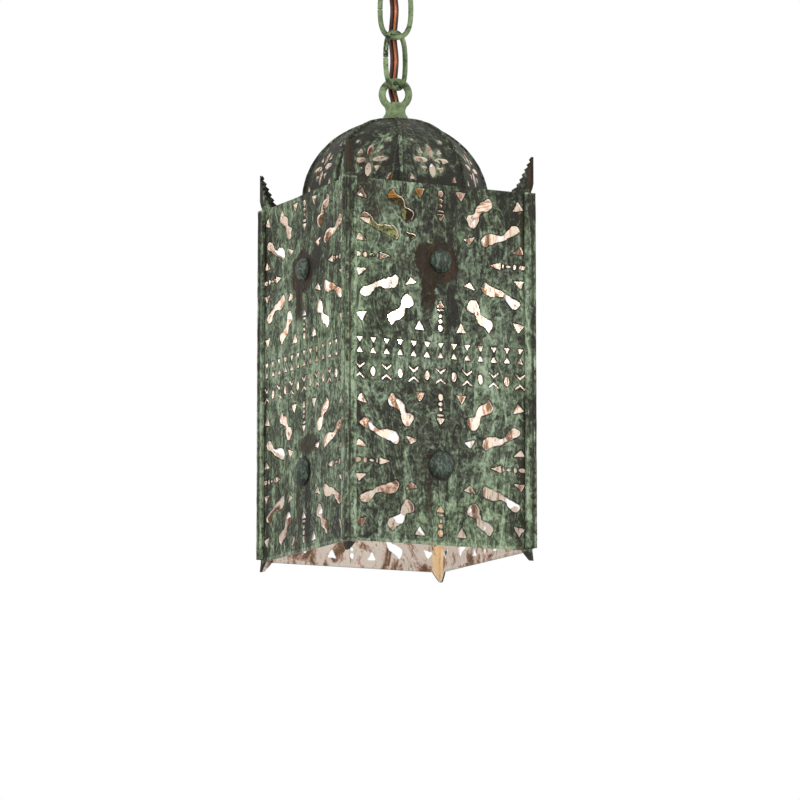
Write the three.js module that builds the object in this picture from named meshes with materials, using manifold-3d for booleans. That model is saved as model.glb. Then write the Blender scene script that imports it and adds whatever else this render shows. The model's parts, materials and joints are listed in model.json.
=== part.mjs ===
// Square pierced metal lantern with a domed roof, hung on two chain links from a ceiling canopy.
// Millimetres, +Z up. The origin is the middle of the strap's top face, where it meets the ceiling.
import * as THREE from 'three';
import { mergeVertices } from 'three/addons/utils/BufferGeometryUtils.js';
import Module from 'manifold-3d';

const wasm = await Module();
wasm.setup();

// Clearances
const gap = 0.3; // between pieces that touch
const barGap = 0.35; // between two chain bars that bear on each other
const reach = 400; // longer than any cut through the lantern

// Ceiling strap, nipples and nuts
const strapLength = 96;
const strapWidth = 20;
const strapThickness = 2.4;
const slotSpacing = 70;
const slotLength = 12;
const slotWidth = 4.6;
const nippleRadius = 5;
const nippleBore = 3.8;
const nippleRecess = 0.6;
const nutAcrossFlats = 15;
const nutHeight = 4;

// Canopy and the threaded ring that holds it up
const canopyRadius = 60;
const canopyDepth = 24;
const canopyWall = 1.2;
const canopyRimWidth = 4;
const canopyStep = 5;
const stubRadius = 12.4;
const stubReach = 5;
const ringNutHeight = 5;
const ringNutWidth = 4.2;
const ringNutNotches = 8;

// Loop casting: a flared foot, a waist and a round ring on top
const loopRingRadius = 8.3;
const loopWireRadius = 2.3;
const loopFootRadius = 7.9;
const loopWaistRadius = 6.1;
const loopShoulderRadius = 7.4;
const loopWaistHeight = 4.5;
const loopNeckHeight = 9.6;
const loopRingHeight = 15.5;
const loopBore = 4;
const loopSocketDepth = 5;

// Chain link: a bent wire with its butt joint open by a little in one leg
const linkLength = 39.6;
const linkWidth = 23;
const linkWireRadius = 1.7;
const linkSquareness = 2.7;
const linkSteps = 18;
const linkSides = 6;
const linkSeam = 0.8;
const facingTurn = -26.2; // degrees, plane of the lantern's loop and of the upper link
const crossingTurn = 24.8; // degrees, plane of the canopy's loop and of the lower link

// Lantern body
const halfSide = 62.6;
const sheet = 1;
const bodyHeight = 222.4;
const tabWidth = 6;
const tabDrop = 6.2;
const leafWidth = 12;
const leafHeight = 23;
const leafTeeth = 4;
const leafBite = 1.1;
const hemHeight = 2;
const hemThickness = 1;
const stripLeg = 6.2;
const stripThickness = 1.3;
const stripLift = 1.6;
const stripRound = 1.1;

// Roof plate and dome of eight gores
const plateFlange = 2.6;
const plateSeat = 3;
const goreCount = 8;
const domeFlatRadius = 53; // from the axis to the middle of a gore
const domeHeight = 51.7;
const domeSteps = 6;
const domeHole = 6;
const ribWidth = 2.2;
const ribProud = 1;

// Boss studs
const bossRadius = 8;
const bossHeight = 4.6;
const bossEdge = 0.8;
const bossShankRadius = 2;
const bossSides = 8;

// Socket
const socketDrop = 30.1; // from the dome's nut down to the socket's cap
const washerRadius = 9;
const washerThickness = 1.2;
const capHeight = 14;
const capWall = 1;
const shellOverlap = 4;
const shellWall = 0.8;
const shellHeight = 37;
const linerWall = 0.6;
const linerProud = 1.4;
const socketBodyHeight = 9;
const screwShellWall = 0.5;
const screwShellHeight = 18;
const nippleIntoCap = 2.4;
const socketSides = 12;

// Bulb
const bulbBaseRadius = 12.9;
const bulbBaseHeight = 24;
const bulbTipRadius = 4.6;
const bulbNeckRadius = 12.6;
const bulbRadius = 29;
const bulbLength = 108;
const bulbBellyHeight = 38; // widest place, measured up from the bulb's lowest point
const bulbWall = 1;
const bulbSides = 10;
const stemRadius = 5;
const stemLength = 53;
const filamentTop = 65; // below the bulb's contact
const filamentBottom = 81.5;
const filamentRadius = 7;
const filamentWire = 0.5;
const filamentLegs = 6;

// Cord: two cores side by side, with a bare ground wire along it
const cordWidth = 5.5;
const cordThickness = 2.8;
const groundRadius = 0.7;
const groundOffset = -2.5; // from the cord's middle line, towards the viewer
const cordTurn = 80; // degrees, the way that the cord steps aside at each crossing of the chain
const cordStep = 8;

// Pierced pattern, measured on one panel from the middle of its bottom edge
const lowerMedallion = 49;
const upperMedallion = 175;
const bandPitch = 9.1;
const bandCount = 13;
const downRow = 123.1;
const upRow = 115.9;
const upperChevronRow = 107.2;
const ovalRow = 103.8;
const lowerChevronRow = 100.6;
const bandTriangleWidth = 4;
const bandTriangleHeight = 3.6;
const chevronWidth = 6.2;
const chevronHeight = 2.4;
const chevronThickness = 1;
const ovalWidth = 3.3;
const ovalHeight = 6;

const finish = (color, roughness, metalness) => new THREE.MeshStandardMaterial({ color, roughness, metalness });
const patina = finish('#5f735f', 0.75, 0.55);
const palePatina = finish('#86a47c', 0.7, 0.5);
const darkPatina = finish('#3c4038', 0.8, 0.5);
const zinc = finish('#b4b6b4', 0.4, 0.9);
const brass = finish('#c9a258', 0.35, 0.9);
const fibre = finish('#3a2d26', 0.9, 0);
const phenolic = finish('#241d1b', 0.5, 0);
const clearGlass = new THREE.MeshStandardMaterial({ color: '#f4f2ea', roughness: 0.05, transparent: true, opacity: 0.3 });
const hotWire = finish('#ffd9a0', 0.4, 0.5);
const brownCord = finish('#3a1e18', 0.55, 0);
const bareCopper = finish('#c8703e', 0.35, 0.9);

const radians = (degrees) => THREE.MathUtils.degToRad(degrees);
const point = (x, y) => new THREE.Vector2(x, y);
const onCircle = (radius, angle) => point(radius * Math.cos(angle), radius * Math.sin(angle));

const lamp = new THREE.Group();

function add(parent, name, geometry, material, height = 0, turn = 0) {
  const mesh = new THREE.Mesh(geometry, material);
  mesh.name = name;
  mesh.position.z = height;
  mesh.rotation.z = turn;
  parent.add(mesh);
  return mesh;
}

// Closed solids and their joins and cuts

function solid(geometry) {
  const bare = geometry.clone();
  bare.deleteAttribute('normal');
  bare.deleteAttribute('uv');
  const merged = mergeVertices(bare);
  const corners = [];
  for (let i = 0; i < merged.index.count; i += 3) {
    const [a, b, c] = [0, 1, 2].map((k) => merged.index.getX(i + k));
    if (a !== b && b !== c && c !== a) corners.push(a, b, c);
  }
  return new wasm.Manifold(new wasm.Mesh({
    numProp: 3,
    vertProperties: new Float32Array(merged.attributes.position.array),
    triVerts: new Uint32Array(corners),
  }));
}

function shape(body) {
  const mesh = body.getMesh();
  const geometry = new THREE.BufferGeometry();
  geometry.setAttribute('position', new THREE.BufferAttribute(new Float32Array(mesh.vertProperties), 3));
  geometry.setIndex(new THREE.BufferAttribute(new Uint32Array(mesh.triVerts), 1));
  return geometry.toNonIndexed();
}

const join = (...parts) => shape(parts.map(solid).reduce((all, part) => all.add(part)));
const cut = (whole, ...tools) => shape(tools.map(solid).reduce((rest, tool) => rest.subtract(tool), solid(whole)));
const common = (one, other) => shape(solid(one).intersect(solid(other)));

// A profile of radius and height, turned round the Z axis, with its faces outward
function turned(profile, sides) {
  const points = THREE.ShapeUtils.area(profile) < 0 ? [...profile].reverse() : [...profile];
  const onAxis = points.filter((p) => p.x === 0).length === 2;
  if (onAxis) {
    while (points[0].x !== 0 || points[points.length - 1].x !== 0) points.push(points.shift());
  } else {
    points.push(points[0].clone());
  }
  return shape(solid(new THREE.LatheGeometry(points, sides).rotateX(Math.PI / 2)));
}

function tubeProfile(outer, inner, bottom, top) {
  return [point(inner, bottom), point(outer, bottom), point(outer, top), point(inner, top)];
}

const drill = (radius, bottom, top, sides) =>
  turned([point(0, bottom), point(radius, bottom), point(radius, top), point(0, top)], sides);

function plate(outline, thickness, holes = []) {
  const drawn = new THREE.Shape(outline);
  drawn.holes = holes.map((hole) => new THREE.Path(hole));
  return new THREE.ExtrudeGeometry(drawn, { depth: thickness, bevelEnabled: false });
}

const polygon = (radius, sides, start = 0) =>
  Array.from({ length: sides }, (_, k) => onCircle(radius, start + (k * 2 * Math.PI) / sides));

// Radius of a faceted bore that clears a round of the given radius by the gap
const clearOf = (radius, sides) => (radius + gap) / Math.cos(Math.PI / sides);

const rectangle = (width, height) => [
  point(-width / 2, -height / 2),
  point(width / 2, -height / 2),
  point(width / 2, height / 2),
  point(-width / 2, height / 2),
];

function hexNut() {
  const bore = polygon(clearOf(nippleRadius, 10), 10);
  return plate(polygon(nutAcrossFlats / 2 / Math.cos(Math.PI / 6), 6), nutHeight, [bore]);
}

// Chain link and loop casting

class OvalWire extends THREE.Curve {
  constructor(halfWidth, halfHeight, openAngle) {
    super();
    Object.assign(this, { halfWidth, halfHeight, openAngle });
  }

  getPoint(t) {
    const angle = Math.PI + this.openAngle / 2 + t * (2 * Math.PI - this.openAngle);
    const power = 2 / linkSquareness;
    const x = Math.sign(Math.cos(angle)) * Math.abs(Math.cos(angle)) ** power;
    const z = Math.sign(Math.sin(angle)) * Math.abs(Math.sin(angle)) ** power;
    return new THREE.Vector3(this.halfWidth * x, 0, this.halfHeight * z);
  }
}

// The wire's ends are left open by the seam in the leg at the link's -X side
function chainLink() {
  const halfWidth = linkWidth / 2 - linkWireRadius;
  const halfHeight = linkLength / 2 - linkWireRadius;
  const openAngle = 2 * (linkSeam / 2 / halfHeight) ** (linkSquareness / 2);
  const wire = new OvalWire(halfWidth, halfHeight, openAngle);
  const section = new THREE.Shape(polygon(linkWireRadius, linkSides));
  return new THREE.ExtrudeGeometry(section, { steps: linkSteps, extrudePath: wire });
}

// Foot at height 0, ring above it in the XZ plane, and a bore for the cord up to the ring
function loopCasting(stubDepth, sides) {
  const profile = [
    point(0, -stubDepth),
    ...(stubDepth > 0 ? [point(stubRadius, -stubDepth), point(stubRadius, 0)] : []),
    point(loopFootRadius, 0),
    point(loopFootRadius, loopWaistHeight / 5),
    point(loopWaistRadius, loopWaistHeight),
    point(loopShoulderRadius, loopNeckHeight),
    point(0, loopNeckHeight),
  ];
  const ring = new THREE.TorusGeometry(loopRingRadius, loopWireRadius, 6, 12);
  ring.rotateZ(Math.PI / 2);
  ring.rotateX(Math.PI / 2);
  ring.translate(0, 0, loopRingHeight);
  const socketTop = loopSocketDepth - loopWaistHeight / 3;
  return cut(
    join(turned(profile, sides), ring),
    drill(clearOf(nippleRadius, 10), -reach, socketTop, 10),
    drill(loopBore / Math.cos(Math.PI / 8), 0, loopNeckHeight + loopWireRadius, 8),
  );
}

const socketRoof = loopSocketDepth - loopWaistHeight / 3; // where a nipple ends inside a loop casting

// Heights down the pendant, from the ceiling at 0

const canopyLoopFoot = -(canopyDepth + ringNutHeight + gap);
const canopyLoopBar = canopyLoopFoot - loopRingHeight - loopRingRadius;
const upperLinkMiddle = canopyLoopBar + loopWireRadius + barGap + 2 * linkWireRadius - linkLength / 2;
const linkPitch = linkLength - 4 * linkWireRadius - barGap;
const lowerLinkMiddle = upperLinkMiddle - linkPitch;
const lowestLinkBar = lowerLinkMiddle - linkLength / 2 + linkWireRadius;
const hubRing = lowestLinkBar + linkWireRadius + barGap + loopWireRadius - loopRingRadius;
const hubFoot = hubRing - loopRingHeight;
const bodyTop = hubFoot - gap - ribProud - domeHeight - gap;
const bodyBottom = bodyTop - bodyHeight;

// Ceiling fixture

function ceilingStrap() {
  const end = slotWidth / 2;
  const run = (slotLength - slotWidth) / 2;
  const slot = (x) => [
    point(x - run, -end),
    point(x + run, -end),
    point(x + run + end, 0),
    point(x + run, end),
    point(x - run, end),
    point(x - run - end, 0),
  ];
  const holes = [polygon(clearOf(nippleRadius, 10), 10), slot(-slotSpacing / 2), slot(slotSpacing / 2)];
  return plate(rectangle(strapLength, strapWidth), strapThickness, holes);
}

// Sheet dish: a flat rim against the ceiling, a stepped shoulder and a shallow bowl round the stub's hole
function canopyDish() {
  const dishSteps = 3;
  const hole = stubRadius + gap;
  const bowl = canopyDepth - canopyStep;
  const outer = [];
  const inner = [];
  for (let k = 0; k <= dishSteps; k += 1) {
    const angle = (k / dishSteps) * (Math.PI / 2);
    const span = canopyRadius - canopyRimWidth / 2 - hole - 4;
    const radius = hole + 4 + span * Math.cos(angle);
    const height = -canopyStep - bowl * Math.sin(angle);
    outer.push(point(radius, height));
    inner.push(point(radius - canopyWall * Math.cos(angle), height + canopyWall * Math.sin(angle)));
  }
  return [
    point(canopyRadius - canopyRimWidth, 0),
    point(canopyRadius, 0),
    point(canopyRadius, -canopyStep),
    ...outer,
    point(hole, -canopyDepth),
    point(hole, -canopyDepth + canopyWall),
    ...inner.reverse(),
    point(canopyRadius - canopyRimWidth / 2 - canopyWall, -canopyStep + canopyWall),
    point(canopyRadius - canopyRimWidth / 2 - canopyWall, -canopyWall),
    point(canopyRadius - canopyRimWidth, -canopyWall),
  ];
}

// Ring with finger notches round its edge
function ringNut() {
  const inner = stubRadius + gap;
  const outline = [];
  for (let k = 0; k < ringNutNotches; k += 1) {
    const angle = (k * 2 * Math.PI) / ringNutNotches;
    const step = Math.PI / ringNutNotches;
    outline.push(onCircle(inner + ringNutWidth, angle - step * 0.6));
    outline.push(onCircle(inner + ringNutWidth, angle + step * 0.6));
    outline.push(onCircle(inner + ringNutWidth - 1, angle + step));
  }
  return plate(outline, ringNutHeight, [polygon(inner / Math.cos(Math.PI / 16), 16)]);
}

const fixture = new THREE.Group();
lamp.add(fixture);
add(fixture, 'ceiling_strap', ceilingStrap(), zinc, -strapThickness);
add(fixture, 'strap_nut', hexNut(), zinc, -strapThickness - gap - nutHeight);
const canopyNippleEnd = canopyLoopFoot - socketRoof + gap;
add(
  fixture,
  'canopy_nipple',
  turned(tubeProfile(nippleRadius, nippleBore, canopyNippleEnd, -nippleRecess), 10),
  brass,
);
const stubDepth = -canopyLoopFoot - canopyDepth + stubReach;
const canopyLoop = add(fixture, 'canopy_loop', loopCasting(stubDepth, 12), palePatina, canopyLoopFoot);
canopyLoop.rotation.set(Math.PI, 0, -radians(crossingTurn)); // hangs foot up
add(fixture, 'canopy', turned(canopyDish(), 18), patina);
add(fixture, 'canopy_ring_nut', ringNut(), palePatina, -canopyDepth - gap / 2 - ringNutHeight);

// Chain

add(lamp, 'chain_link_upper', chainLink(), palePatina, upperLinkMiddle, radians(facingTurn));
add(lamp, 'chain_link_lower', chainLink(), palePatina, lowerLinkMiddle, radians(crossingTurn));

// Lantern

const lantern = new THREE.Group();
lantern.position.z = bodyBottom;
lamp.add(lantern);

add(lantern, 'hub_loop', loopCasting(0, 12), palePatina, hubFoot - bodyBottom, radians(facingTurn));

// One gore stands across +X, and the ribs stand between the gores

const halfGore = Math.PI / goreCount;
const seamRadius = domeFlatRadius / Math.cos(halfGore);

// A flat bar bent over an upright elliptical arc, with the arc's middle on the Z axis
function meridianBar(outerRadius, outerHeight, innerRadius, innerHeight, width) {
  const arc = (radius, height) => {
    const last = Math.acos(domeHole / radius);
    return Array.from({ length: domeSteps + 1 }, (_, k) => {
      const angle = (last * k) / domeSteps;
      return point(radius * Math.cos(angle), height * Math.sin(angle));
    });
  };
  const outline = [...arc(outerRadius, outerHeight), ...arc(innerRadius, innerHeight).reverse()];
  const bar = plate(outline, width);
  bar.translate(0, 0, -width / 2);
  bar.rotateX(Math.PI / 2);
  return bar;
}

// Wedge between a gore's two ribs, which clears each of them by the gap
function goreWedge() {
  const setBack = (ribWidth / 2 + gap) / Math.sin(halfGore);
  const far = onCircle(reach, halfGore);
  const outline = [point(setBack, 0), point(setBack + far.x, -far.y), point(setBack + far.x, far.y)];
  return plate(outline, 2 * domeHeight).translate(0, 0, -domeHeight / 2);
}

const oval = (width, height, sides) =>
  polygon(1, sides).map((p) => point((p.x * width) / 2, (p.y * height) / 2));

const triangle = (width, height) => [
  point(-width / 2, -height / 3),
  point(width / 2, -height / 3),
  point(0, (2 * height) / 3),
];

const shifted = (points, x, y) => points.map((p) => point(p.x + x, p.y + y));
const flipped = (points) => points.map((p) => point(p.x, -p.y));

// Flower of four petals, with triangles between its petals and in the gore's corners
const flowerHeight = 18;
const petalLength = 9.5;
const petalWidth = 3.2;
const petalCentre = 6.8;

function goreHoles() {
  const leaf = 4.2;
  const holes = [
    { across: 0, up: flowerHeight + petalCentre, outline: oval(petalWidth, petalLength, 6) },
    { across: 0, up: flowerHeight - petalCentre, outline: oval(petalWidth, petalLength, 6) },
  ];
  for (const side of [-1, 1]) {
    holes.push({ across: side * petalCentre, up: flowerHeight, outline: oval(petalLength, petalWidth, 6) });
    holes.push({ across: side * 6.3, up: flowerHeight + 6.4, outline: triangle(leaf, leaf) });
    holes.push({ across: side * 5.6, up: flowerHeight - 6.2, outline: flipped(triangle(leaf, leaf)) });
    holes.push({ across: side * 14, up: flowerHeight - 12.6, outline: triangle(leaf, leaf) });
  }
  return holes;
}

function gore() {
  const wide = 2 * domeFlatRadius * Math.tan(halfGore);
  const strip = meridianBar(domeFlatRadius, domeHeight, domeFlatRadius - sheet, domeHeight - sheet, wide);
  const meanRadius = (domeFlatRadius + domeHeight) / 2;
  const tools = goreHoles().map(({ across, up, outline }) => {
    const angle = up / meanRadius;
    const tool = plate(shifted(outline, across, 0), 4 * sheet).translate(0, 0, -2 * sheet);
    tool.rotateX(Math.PI / 2).rotateZ(Math.PI / 2).rotateY(-angle);
    return tool.translate(domeFlatRadius * Math.cos(angle), 0, domeHeight * Math.sin(angle));
  });
  return cut(common(strip, goreWedge()), ...tools);
}

const domeRib = () => meridianBar(
  seamRadius + ribProud,
  domeHeight + ribProud,
  seamRadius - sheet,
  domeHeight - sheet,
  ribWidth,
);

const goreShape = gore();
const ribShape = domeRib();
for (let k = 0; k < goreCount; k += 1) {
  const facing = 2 * k * halfGore;
  add(lantern, `dome_gore_${k + 1}`, goreShape, patina, bodyHeight + gap, facing);
  add(lantern, `dome_rib_${k + 1}`, ribShape, palePatina, bodyHeight + gap, facing + halfGore);
}

// Roof plate: a shallow tray with its flanges down inside the panels
function roofPlate() {
  const half = halfSide - sheet - gap;
  const opening = polygon((domeFlatRadius - plateSeat) / Math.cos(halfGore), goreCount, halfGore);
  const top = plate(rectangle(2 * half, 2 * half), sheet, [opening]).translate(0, 0, -sheet);
  const frame = plate(rectangle(2 * half, 2 * half), plateFlange, [rectangle(2 * (half - sheet), 2 * (half - sheet))]);
  return join(top, frame.translate(0, 0, -plateFlange));
}

add(lantern, 'roof_plate', roofPlate(), darkPatina, bodyHeight);

// Panel outline: a flat bottom edge between two corner tabs, and a toothed half leaf over each top corner

function panelOutline() {
  const left = -halfSide;
  const right = halfSide - sheet - gap;
  const leaf = [];
  for (let k = 1; k < leafTeeth; k += 1) {
    const out = (leafWidth * k) / leafTeeth;
    const level = leafHeight * (1 - k / leafTeeth);
    leaf.push(point(out + leafBite / 2, level + leafBite / 2));
    leaf.push(point(out - leafBite / 2, level));
  }
  leaf.push(point(leafWidth, 0));
  return [
    point(left, -tabDrop),
    point(left + tabWidth, 0),
    point(right - tabWidth, 0),
    point(right, -tabDrop),
    point(right, bodyHeight + leafHeight),
    ...leaf.map((p) => point(right - p.x, bodyHeight + p.y)),
    ...leaf.reverse().map((p) => point(left + p.x, bodyHeight + p.y)),
    point(left, bodyHeight + leafHeight),
  ];
}

// Cut-out like a bone: a lobe at each end of a narrow waist
function bone(outer, outerRadius, waist, waistHalf, inner, innerRadius) {
  const inTo = inner.clone().sub(waist).normalize();
  const outTo = outer.clone().sub(waist).normalize();
  const sideOf = (direction) => point(-direction.y, direction.x);
  const at = (centre, direction, distance) => centre.clone().addScaledVector(direction, distance);
  const across = outTo.clone().sub(inTo).normalize();
  return [
    at(outer, outTo, outerRadius * 1.25),
    at(outer, sideOf(outTo), outerRadius),
    at(waist, sideOf(across), waistHalf),
    at(inner, sideOf(inTo), -innerRadius),
    at(inner, inTo, innerRadius * 1.1),
    at(inner, sideOf(inTo), innerRadius),
    at(waist, sideOf(across), -waistHalf),
    at(outer, sideOf(outTo), -outerRadius),
  ];
}

// Arrow that points to the boss: an oval and a triangle in line
function arrow(start, length) {
  return [
    shifted(oval(length / 4.6, 3.6, 4), start + length / 10, 0),
    [point(start + length - 5.4, -2.4), point(start + length, 0), point(start + length - 5.4, 2.4)],
  ];
}

// One quarter of a medallion, seen from its boss, up and to the right
function quarterMedallion() {
  return [
    bone(point(30.6, 36.6), 3.9, point(25.2, 30.8), 1.6, point(21.6, 26), 3.7),
    bone(point(52.2, 23.4), 2.7, point(46, 19.6), 2, point(35, 16.2), 4.2),
    [point(51.2, 35.8), point(57.2, 37), point(54.6, 41.4)],
    [point(11.6, 43.6), point(17.4, 43.6), point(14.4, 38.2)],
    [point(50.2, 8.7), point(57.4, 8.7), point(55.8, 13.3)],
  ];
}

function medallion(height) {
  const quarter = quarterMedallion();
  const corners = [-1, 1].flatMap((x) => [-1, 1].map((y) => [x, y]));
  const round = corners.flatMap(([x, y]) => quarter.map((hole) => hole.map((p) => point(x * p.x, y * p.y))));
  const level = arrow(-57.4, 23);
  const upright = arrow(-43.6, 19);
  const arms = [
    ...level,
    ...level.map((hole) => hole.map((p) => point(-p.x, p.y))),
    ...upright.map((hole) => hole.map((p) => point(p.y, p.x))),
    ...upright.map((hole) => hole.map((p) => point(p.y, -p.x))),
  ];
  const stud = polygon(bossShankRadius + 2 * gap, 5);
  return [...round, ...arms, stud].map((hole) => shifted(hole, 0, height));
}

const chevron = () => {
  const half = chevronWidth / 2;
  const top = chevronHeight / 2;
  return [point(-half, top), point(0, -top - chevronThickness / 2), point(half, top), point(0, -top + chevronThickness)];
};

function middleBand() {
  const holes = [];
  for (let k = 0; k < bandCount; k += 1) {
    const x = (k - (bandCount - 1) / 2) * bandPitch;
    const tooth = triangle(bandTriangleWidth, bandTriangleHeight);
    holes.push(shifted(flipped(tooth), x, downRow), shifted(tooth, x, upRow));
    if (k % 2 === 0) {
      holes.push(shifted(chevron(), x, upperChevronRow));
      holes.push(shifted(flipped(chevron()), x, lowerChevronRow));
    } else {
      holes.push(shifted(oval(ovalWidth, ovalHeight, 4), x, ovalRow));
    }
  }
  return holes;
}

// The sheet lies in the XZ plane with its outer face at y = -halfSide, and its hem is folded inside
function panel() {
  const holes = [...medallion(lowerMedallion), ...medallion(upperMedallion), ...middleBand()];
  const tools = holes.map((hole) => plate(hole, 3 * sheet).translate(0, 0, -sheet));
  const wall = cut(plate(panelOutline(), sheet), ...tools).rotateX(Math.PI / 2);
  wall.translate(0, sheet - halfSide, 0);
  const hemLength = 2 * (halfSide - sheet - gap - tabWidth);
  const hem = new THREE.BoxGeometry(hemLength, hemThickness + sheet / 2, hemHeight);
  hem.translate(0, -halfSide + sheet + (hemThickness - sheet / 2) / 2, hemHeight / 2);
  return join(wall, hem);
}

const sides = ['front', 'right', 'back', 'left'];
const panelShape = panel();
sides.forEach((side, k) => add(lantern, `panel_${side}`, panelShape, patina, 0, (k * Math.PI) / 2));

// Angle moulding over each upright corner
function cornerStrip() {
  const inner = halfSide + gap;
  const outer = inner + stripThickness;
  const end = outer - stripLeg;
  const outline = [
    point(end, inner),
    point(inner, inner),
    point(inner, end),
    point(outer - stripThickness / 3, end),
    point(outer, end + stripRound),
    point(outer, outer - stripRound),
    point(outer - stripRound, outer),
    point(end + stripRound, outer),
    point(end, outer - stripThickness / 3),
  ];
  return plate(outline, bodyHeight - stripLift);
}

const stripShape = cornerStrip();
const corners = ['front_left', 'front_right', 'back_right', 'back_left'];
corners.forEach((corner, k) => {
  add(lantern, `corner_strip_${corner}`, stripShape, darkPatina, stripLift, (k * Math.PI) / 2 + Math.PI);
});

// Domed stud with a shank through its panel, one in each medallion
function boss() {
  const profile = [
    point(0, -sheet - gap),
    point(bossShankRadius, -sheet - gap),
    point(bossShankRadius, gap),
    point(bossRadius, gap),
    point(bossRadius, gap + bossEdge),
    point(bossRadius * 0.6, gap + bossHeight * 0.8),
    point(0, gap + bossHeight),
  ];
  const stud = turned(profile, bossSides);
  return stud.rotateX(Math.PI / 2).translate(0, -halfSide, 0);
}

const bossShape = boss();
sides.forEach((side, k) => {
  add(lantern, `boss_${side}_lower`, bossShape, darkPatina, lowerMedallion, (k * Math.PI) / 2);
  add(lantern, `boss_${side}_upper`, bossShape, darkPatina, upperMedallion, (k * Math.PI) / 2);
});

// Socket hung on a nipple from the hub, heights measured from the panels' bottom edge

const domeBase = bodyHeight + gap;
const innerDomeRadius = domeFlatRadius - sheet;
const innerDomeHeight = domeHeight - sheet;
const washerTop =
  domeBase + innerDomeHeight * Math.sqrt(1 - (washerRadius / innerDomeRadius) ** 2) - 2 * gap;
const lampNutTop = washerTop - washerThickness - gap;
const capTop = lampNutTop - nutHeight - gap - socketDrop;
const capBottom = capTop - capHeight;
const shellTop = capBottom + shellOverlap;
const shellBottom = shellTop - shellHeight;
const nippleTop = hubFoot - bodyBottom + socketRoof - gap;
const nippleBottom = capTop - capWall - nippleIntoCap;

const screwShellInner = clearOf(bulbBaseRadius, socketSides);
const screwShellOuter = screwShellInner + screwShellWall;
const linerInner = screwShellOuter + gap;
const linerOuter = linerInner + linerWall;
const shellInner = linerOuter + gap;
const shellOuter = shellInner + shellWall;
const capInner = shellOuter + gap;
const capOuter = capInner + capWall;
const socketBodyTop = shellTop - 1;
const socketBodyBottom = socketBodyTop - socketBodyHeight;

add(lantern, 'lamp_nipple', turned(tubeProfile(nippleRadius, nippleBore, nippleBottom, nippleTop), 10), brass);
add(
  lantern,
  'dome_washer',
  turned(tubeProfile(washerRadius, clearOf(nippleRadius, 12), washerTop - washerThickness, washerTop), 12),
  zinc,
);
add(lantern, 'dome_nut', hexNut(), zinc, lampNutTop - nutHeight);

function socketCap() {
  const neck = clearOf(nippleRadius, 12);
  const shoulder = capTop - capHeight * 0.45;
  return [
    point(neck, capTop),
    point(neck + 2.4, capTop),
    point(capOuter * 0.75, shoulder + (capTop - shoulder) * 0.7),
    point(capOuter, shoulder - 1),
    point(capOuter, capBottom),
    point(capInner, capBottom),
    point(capInner, shoulder - 1 - capWall / 2),
    point(capInner * 0.72, shoulder + (capTop - shoulder) * 0.7 - capWall),
    point(neck, capTop - capWall),
  ];
}

add(lantern, 'socket_cap', turned(socketCap(), socketSides), brass);
add(
  lantern,
  'socket_shell',
  turned(tubeProfile(shellOuter, shellInner, shellBottom, shellTop), socketSides),
  palePatina,
);
add(
  lantern,
  'socket_liner',
  turned(tubeProfile(linerOuter, linerInner, shellBottom - linerProud, shellTop - 2 * gap), socketSides),
  fibre,
);
add(lantern, 'socket_body', drill(linerInner - gap, socketBodyBottom, socketBodyTop, socketSides), phenolic);
const screwShellTop = socketBodyBottom - gap;
add(
  lantern,
  'socket_screw_shell',
  turned(tubeProfile(screwShellOuter, screwShellInner, screwShellTop - screwShellHeight, screwShellTop), socketSides),
  brass,
);

// Bulb: a screw base, an open-necked glass with its stem, and a wire that zigzags round the stem

const contactTop = screwShellTop - gap;
const baseBottom = contactTop - bulbBaseHeight;
const bulbBottom = contactTop - bulbLength;

function bulbBase() {
  const roof = contactTop - 2;
  return [
    point(0, contactTop),
    point(bulbTipRadius, contactTop),
    point(bulbTipRadius + 1, roof),
    point(bulbBaseRadius - 3, roof),
    point(bulbBaseRadius, roof - 4),
    point(bulbBaseRadius, baseBottom),
    point(bulbBaseRadius - 0.6, baseBottom),
    point(bulbBaseRadius - 0.6, roof - 5),
    point(bulbBaseRadius - 3.4, roof - 1),
    point(0, roof - 1),
  ];
}

function bulbGlass() {
  const belly = bulbBottom + bulbBellyHeight;
  const neck = baseBottom + 2;
  const neckRadius = bulbNeckRadius - gap - 0.6;
  const outline = (shrink) => {
    const points = [point(0, bulbBottom + shrink)];
    for (let k = 1; k <= 4; k += 1) {
      const angle = (k / 4) * (Math.PI / 2);
      const radius = (bulbRadius - shrink) * Math.sin(angle);
      points.push(point(radius, belly - (bulbBellyHeight - shrink) * Math.cos(angle)));
    }
    for (let k = 1; k <= 4; k += 1) {
      const share = k / 4;
      const ease = 0.5 - 0.5 * Math.cos(Math.PI * share);
      points.push(point(bulbRadius - shrink - (bulbRadius - neckRadius) * ease, belly + (neck - belly) * share));
    }
    return points;
  };
  return [...outline(0), ...outline(bulbWall).reverse()];
}

function bulbStem() {
  const top = contactTop - 8;
  return [
    point(0, top),
    point(stemRadius, top),
    point(stemRadius, baseBottom + 4),
    point(stemRadius / 2.5, baseBottom - 6),
    point(stemRadius / 2.5, top - stemLength),
    point(0, top - stemLength),
  ];
}

class Zigzag extends THREE.Curve {
  getPoint(t) {
    const leg = t * filamentLegs;
    const share = leg % 2 > 1 ? 2 - (leg % 2) : leg % 2;
    const angle = (leg / filamentLegs) * 2 * Math.PI * (1 - 1 / filamentLegs);
    const height = contactTop - filamentTop - (filamentBottom - filamentTop) * share;
    return new THREE.Vector3(filamentRadius * Math.cos(angle), filamentRadius * Math.sin(angle), height);
  }
}

const wireSection = new THREE.Shape(polygon(filamentWire, 4));
const filament = new THREE.ExtrudeGeometry(wireSection, { steps: 2 * filamentLegs, extrudePath: new Zigzag() });
add(lantern, 'bulb_base', turned(bulbBase(), bulbSides), brass);
add(lantern, 'bulb_glass', turned(bulbGlass(), bulbSides), clearGlass);
add(lantern, 'bulb_stem', turned(bulbStem(), 7), clearGlass);
add(lantern, 'bulb_filament', filament, hotWire);

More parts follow.
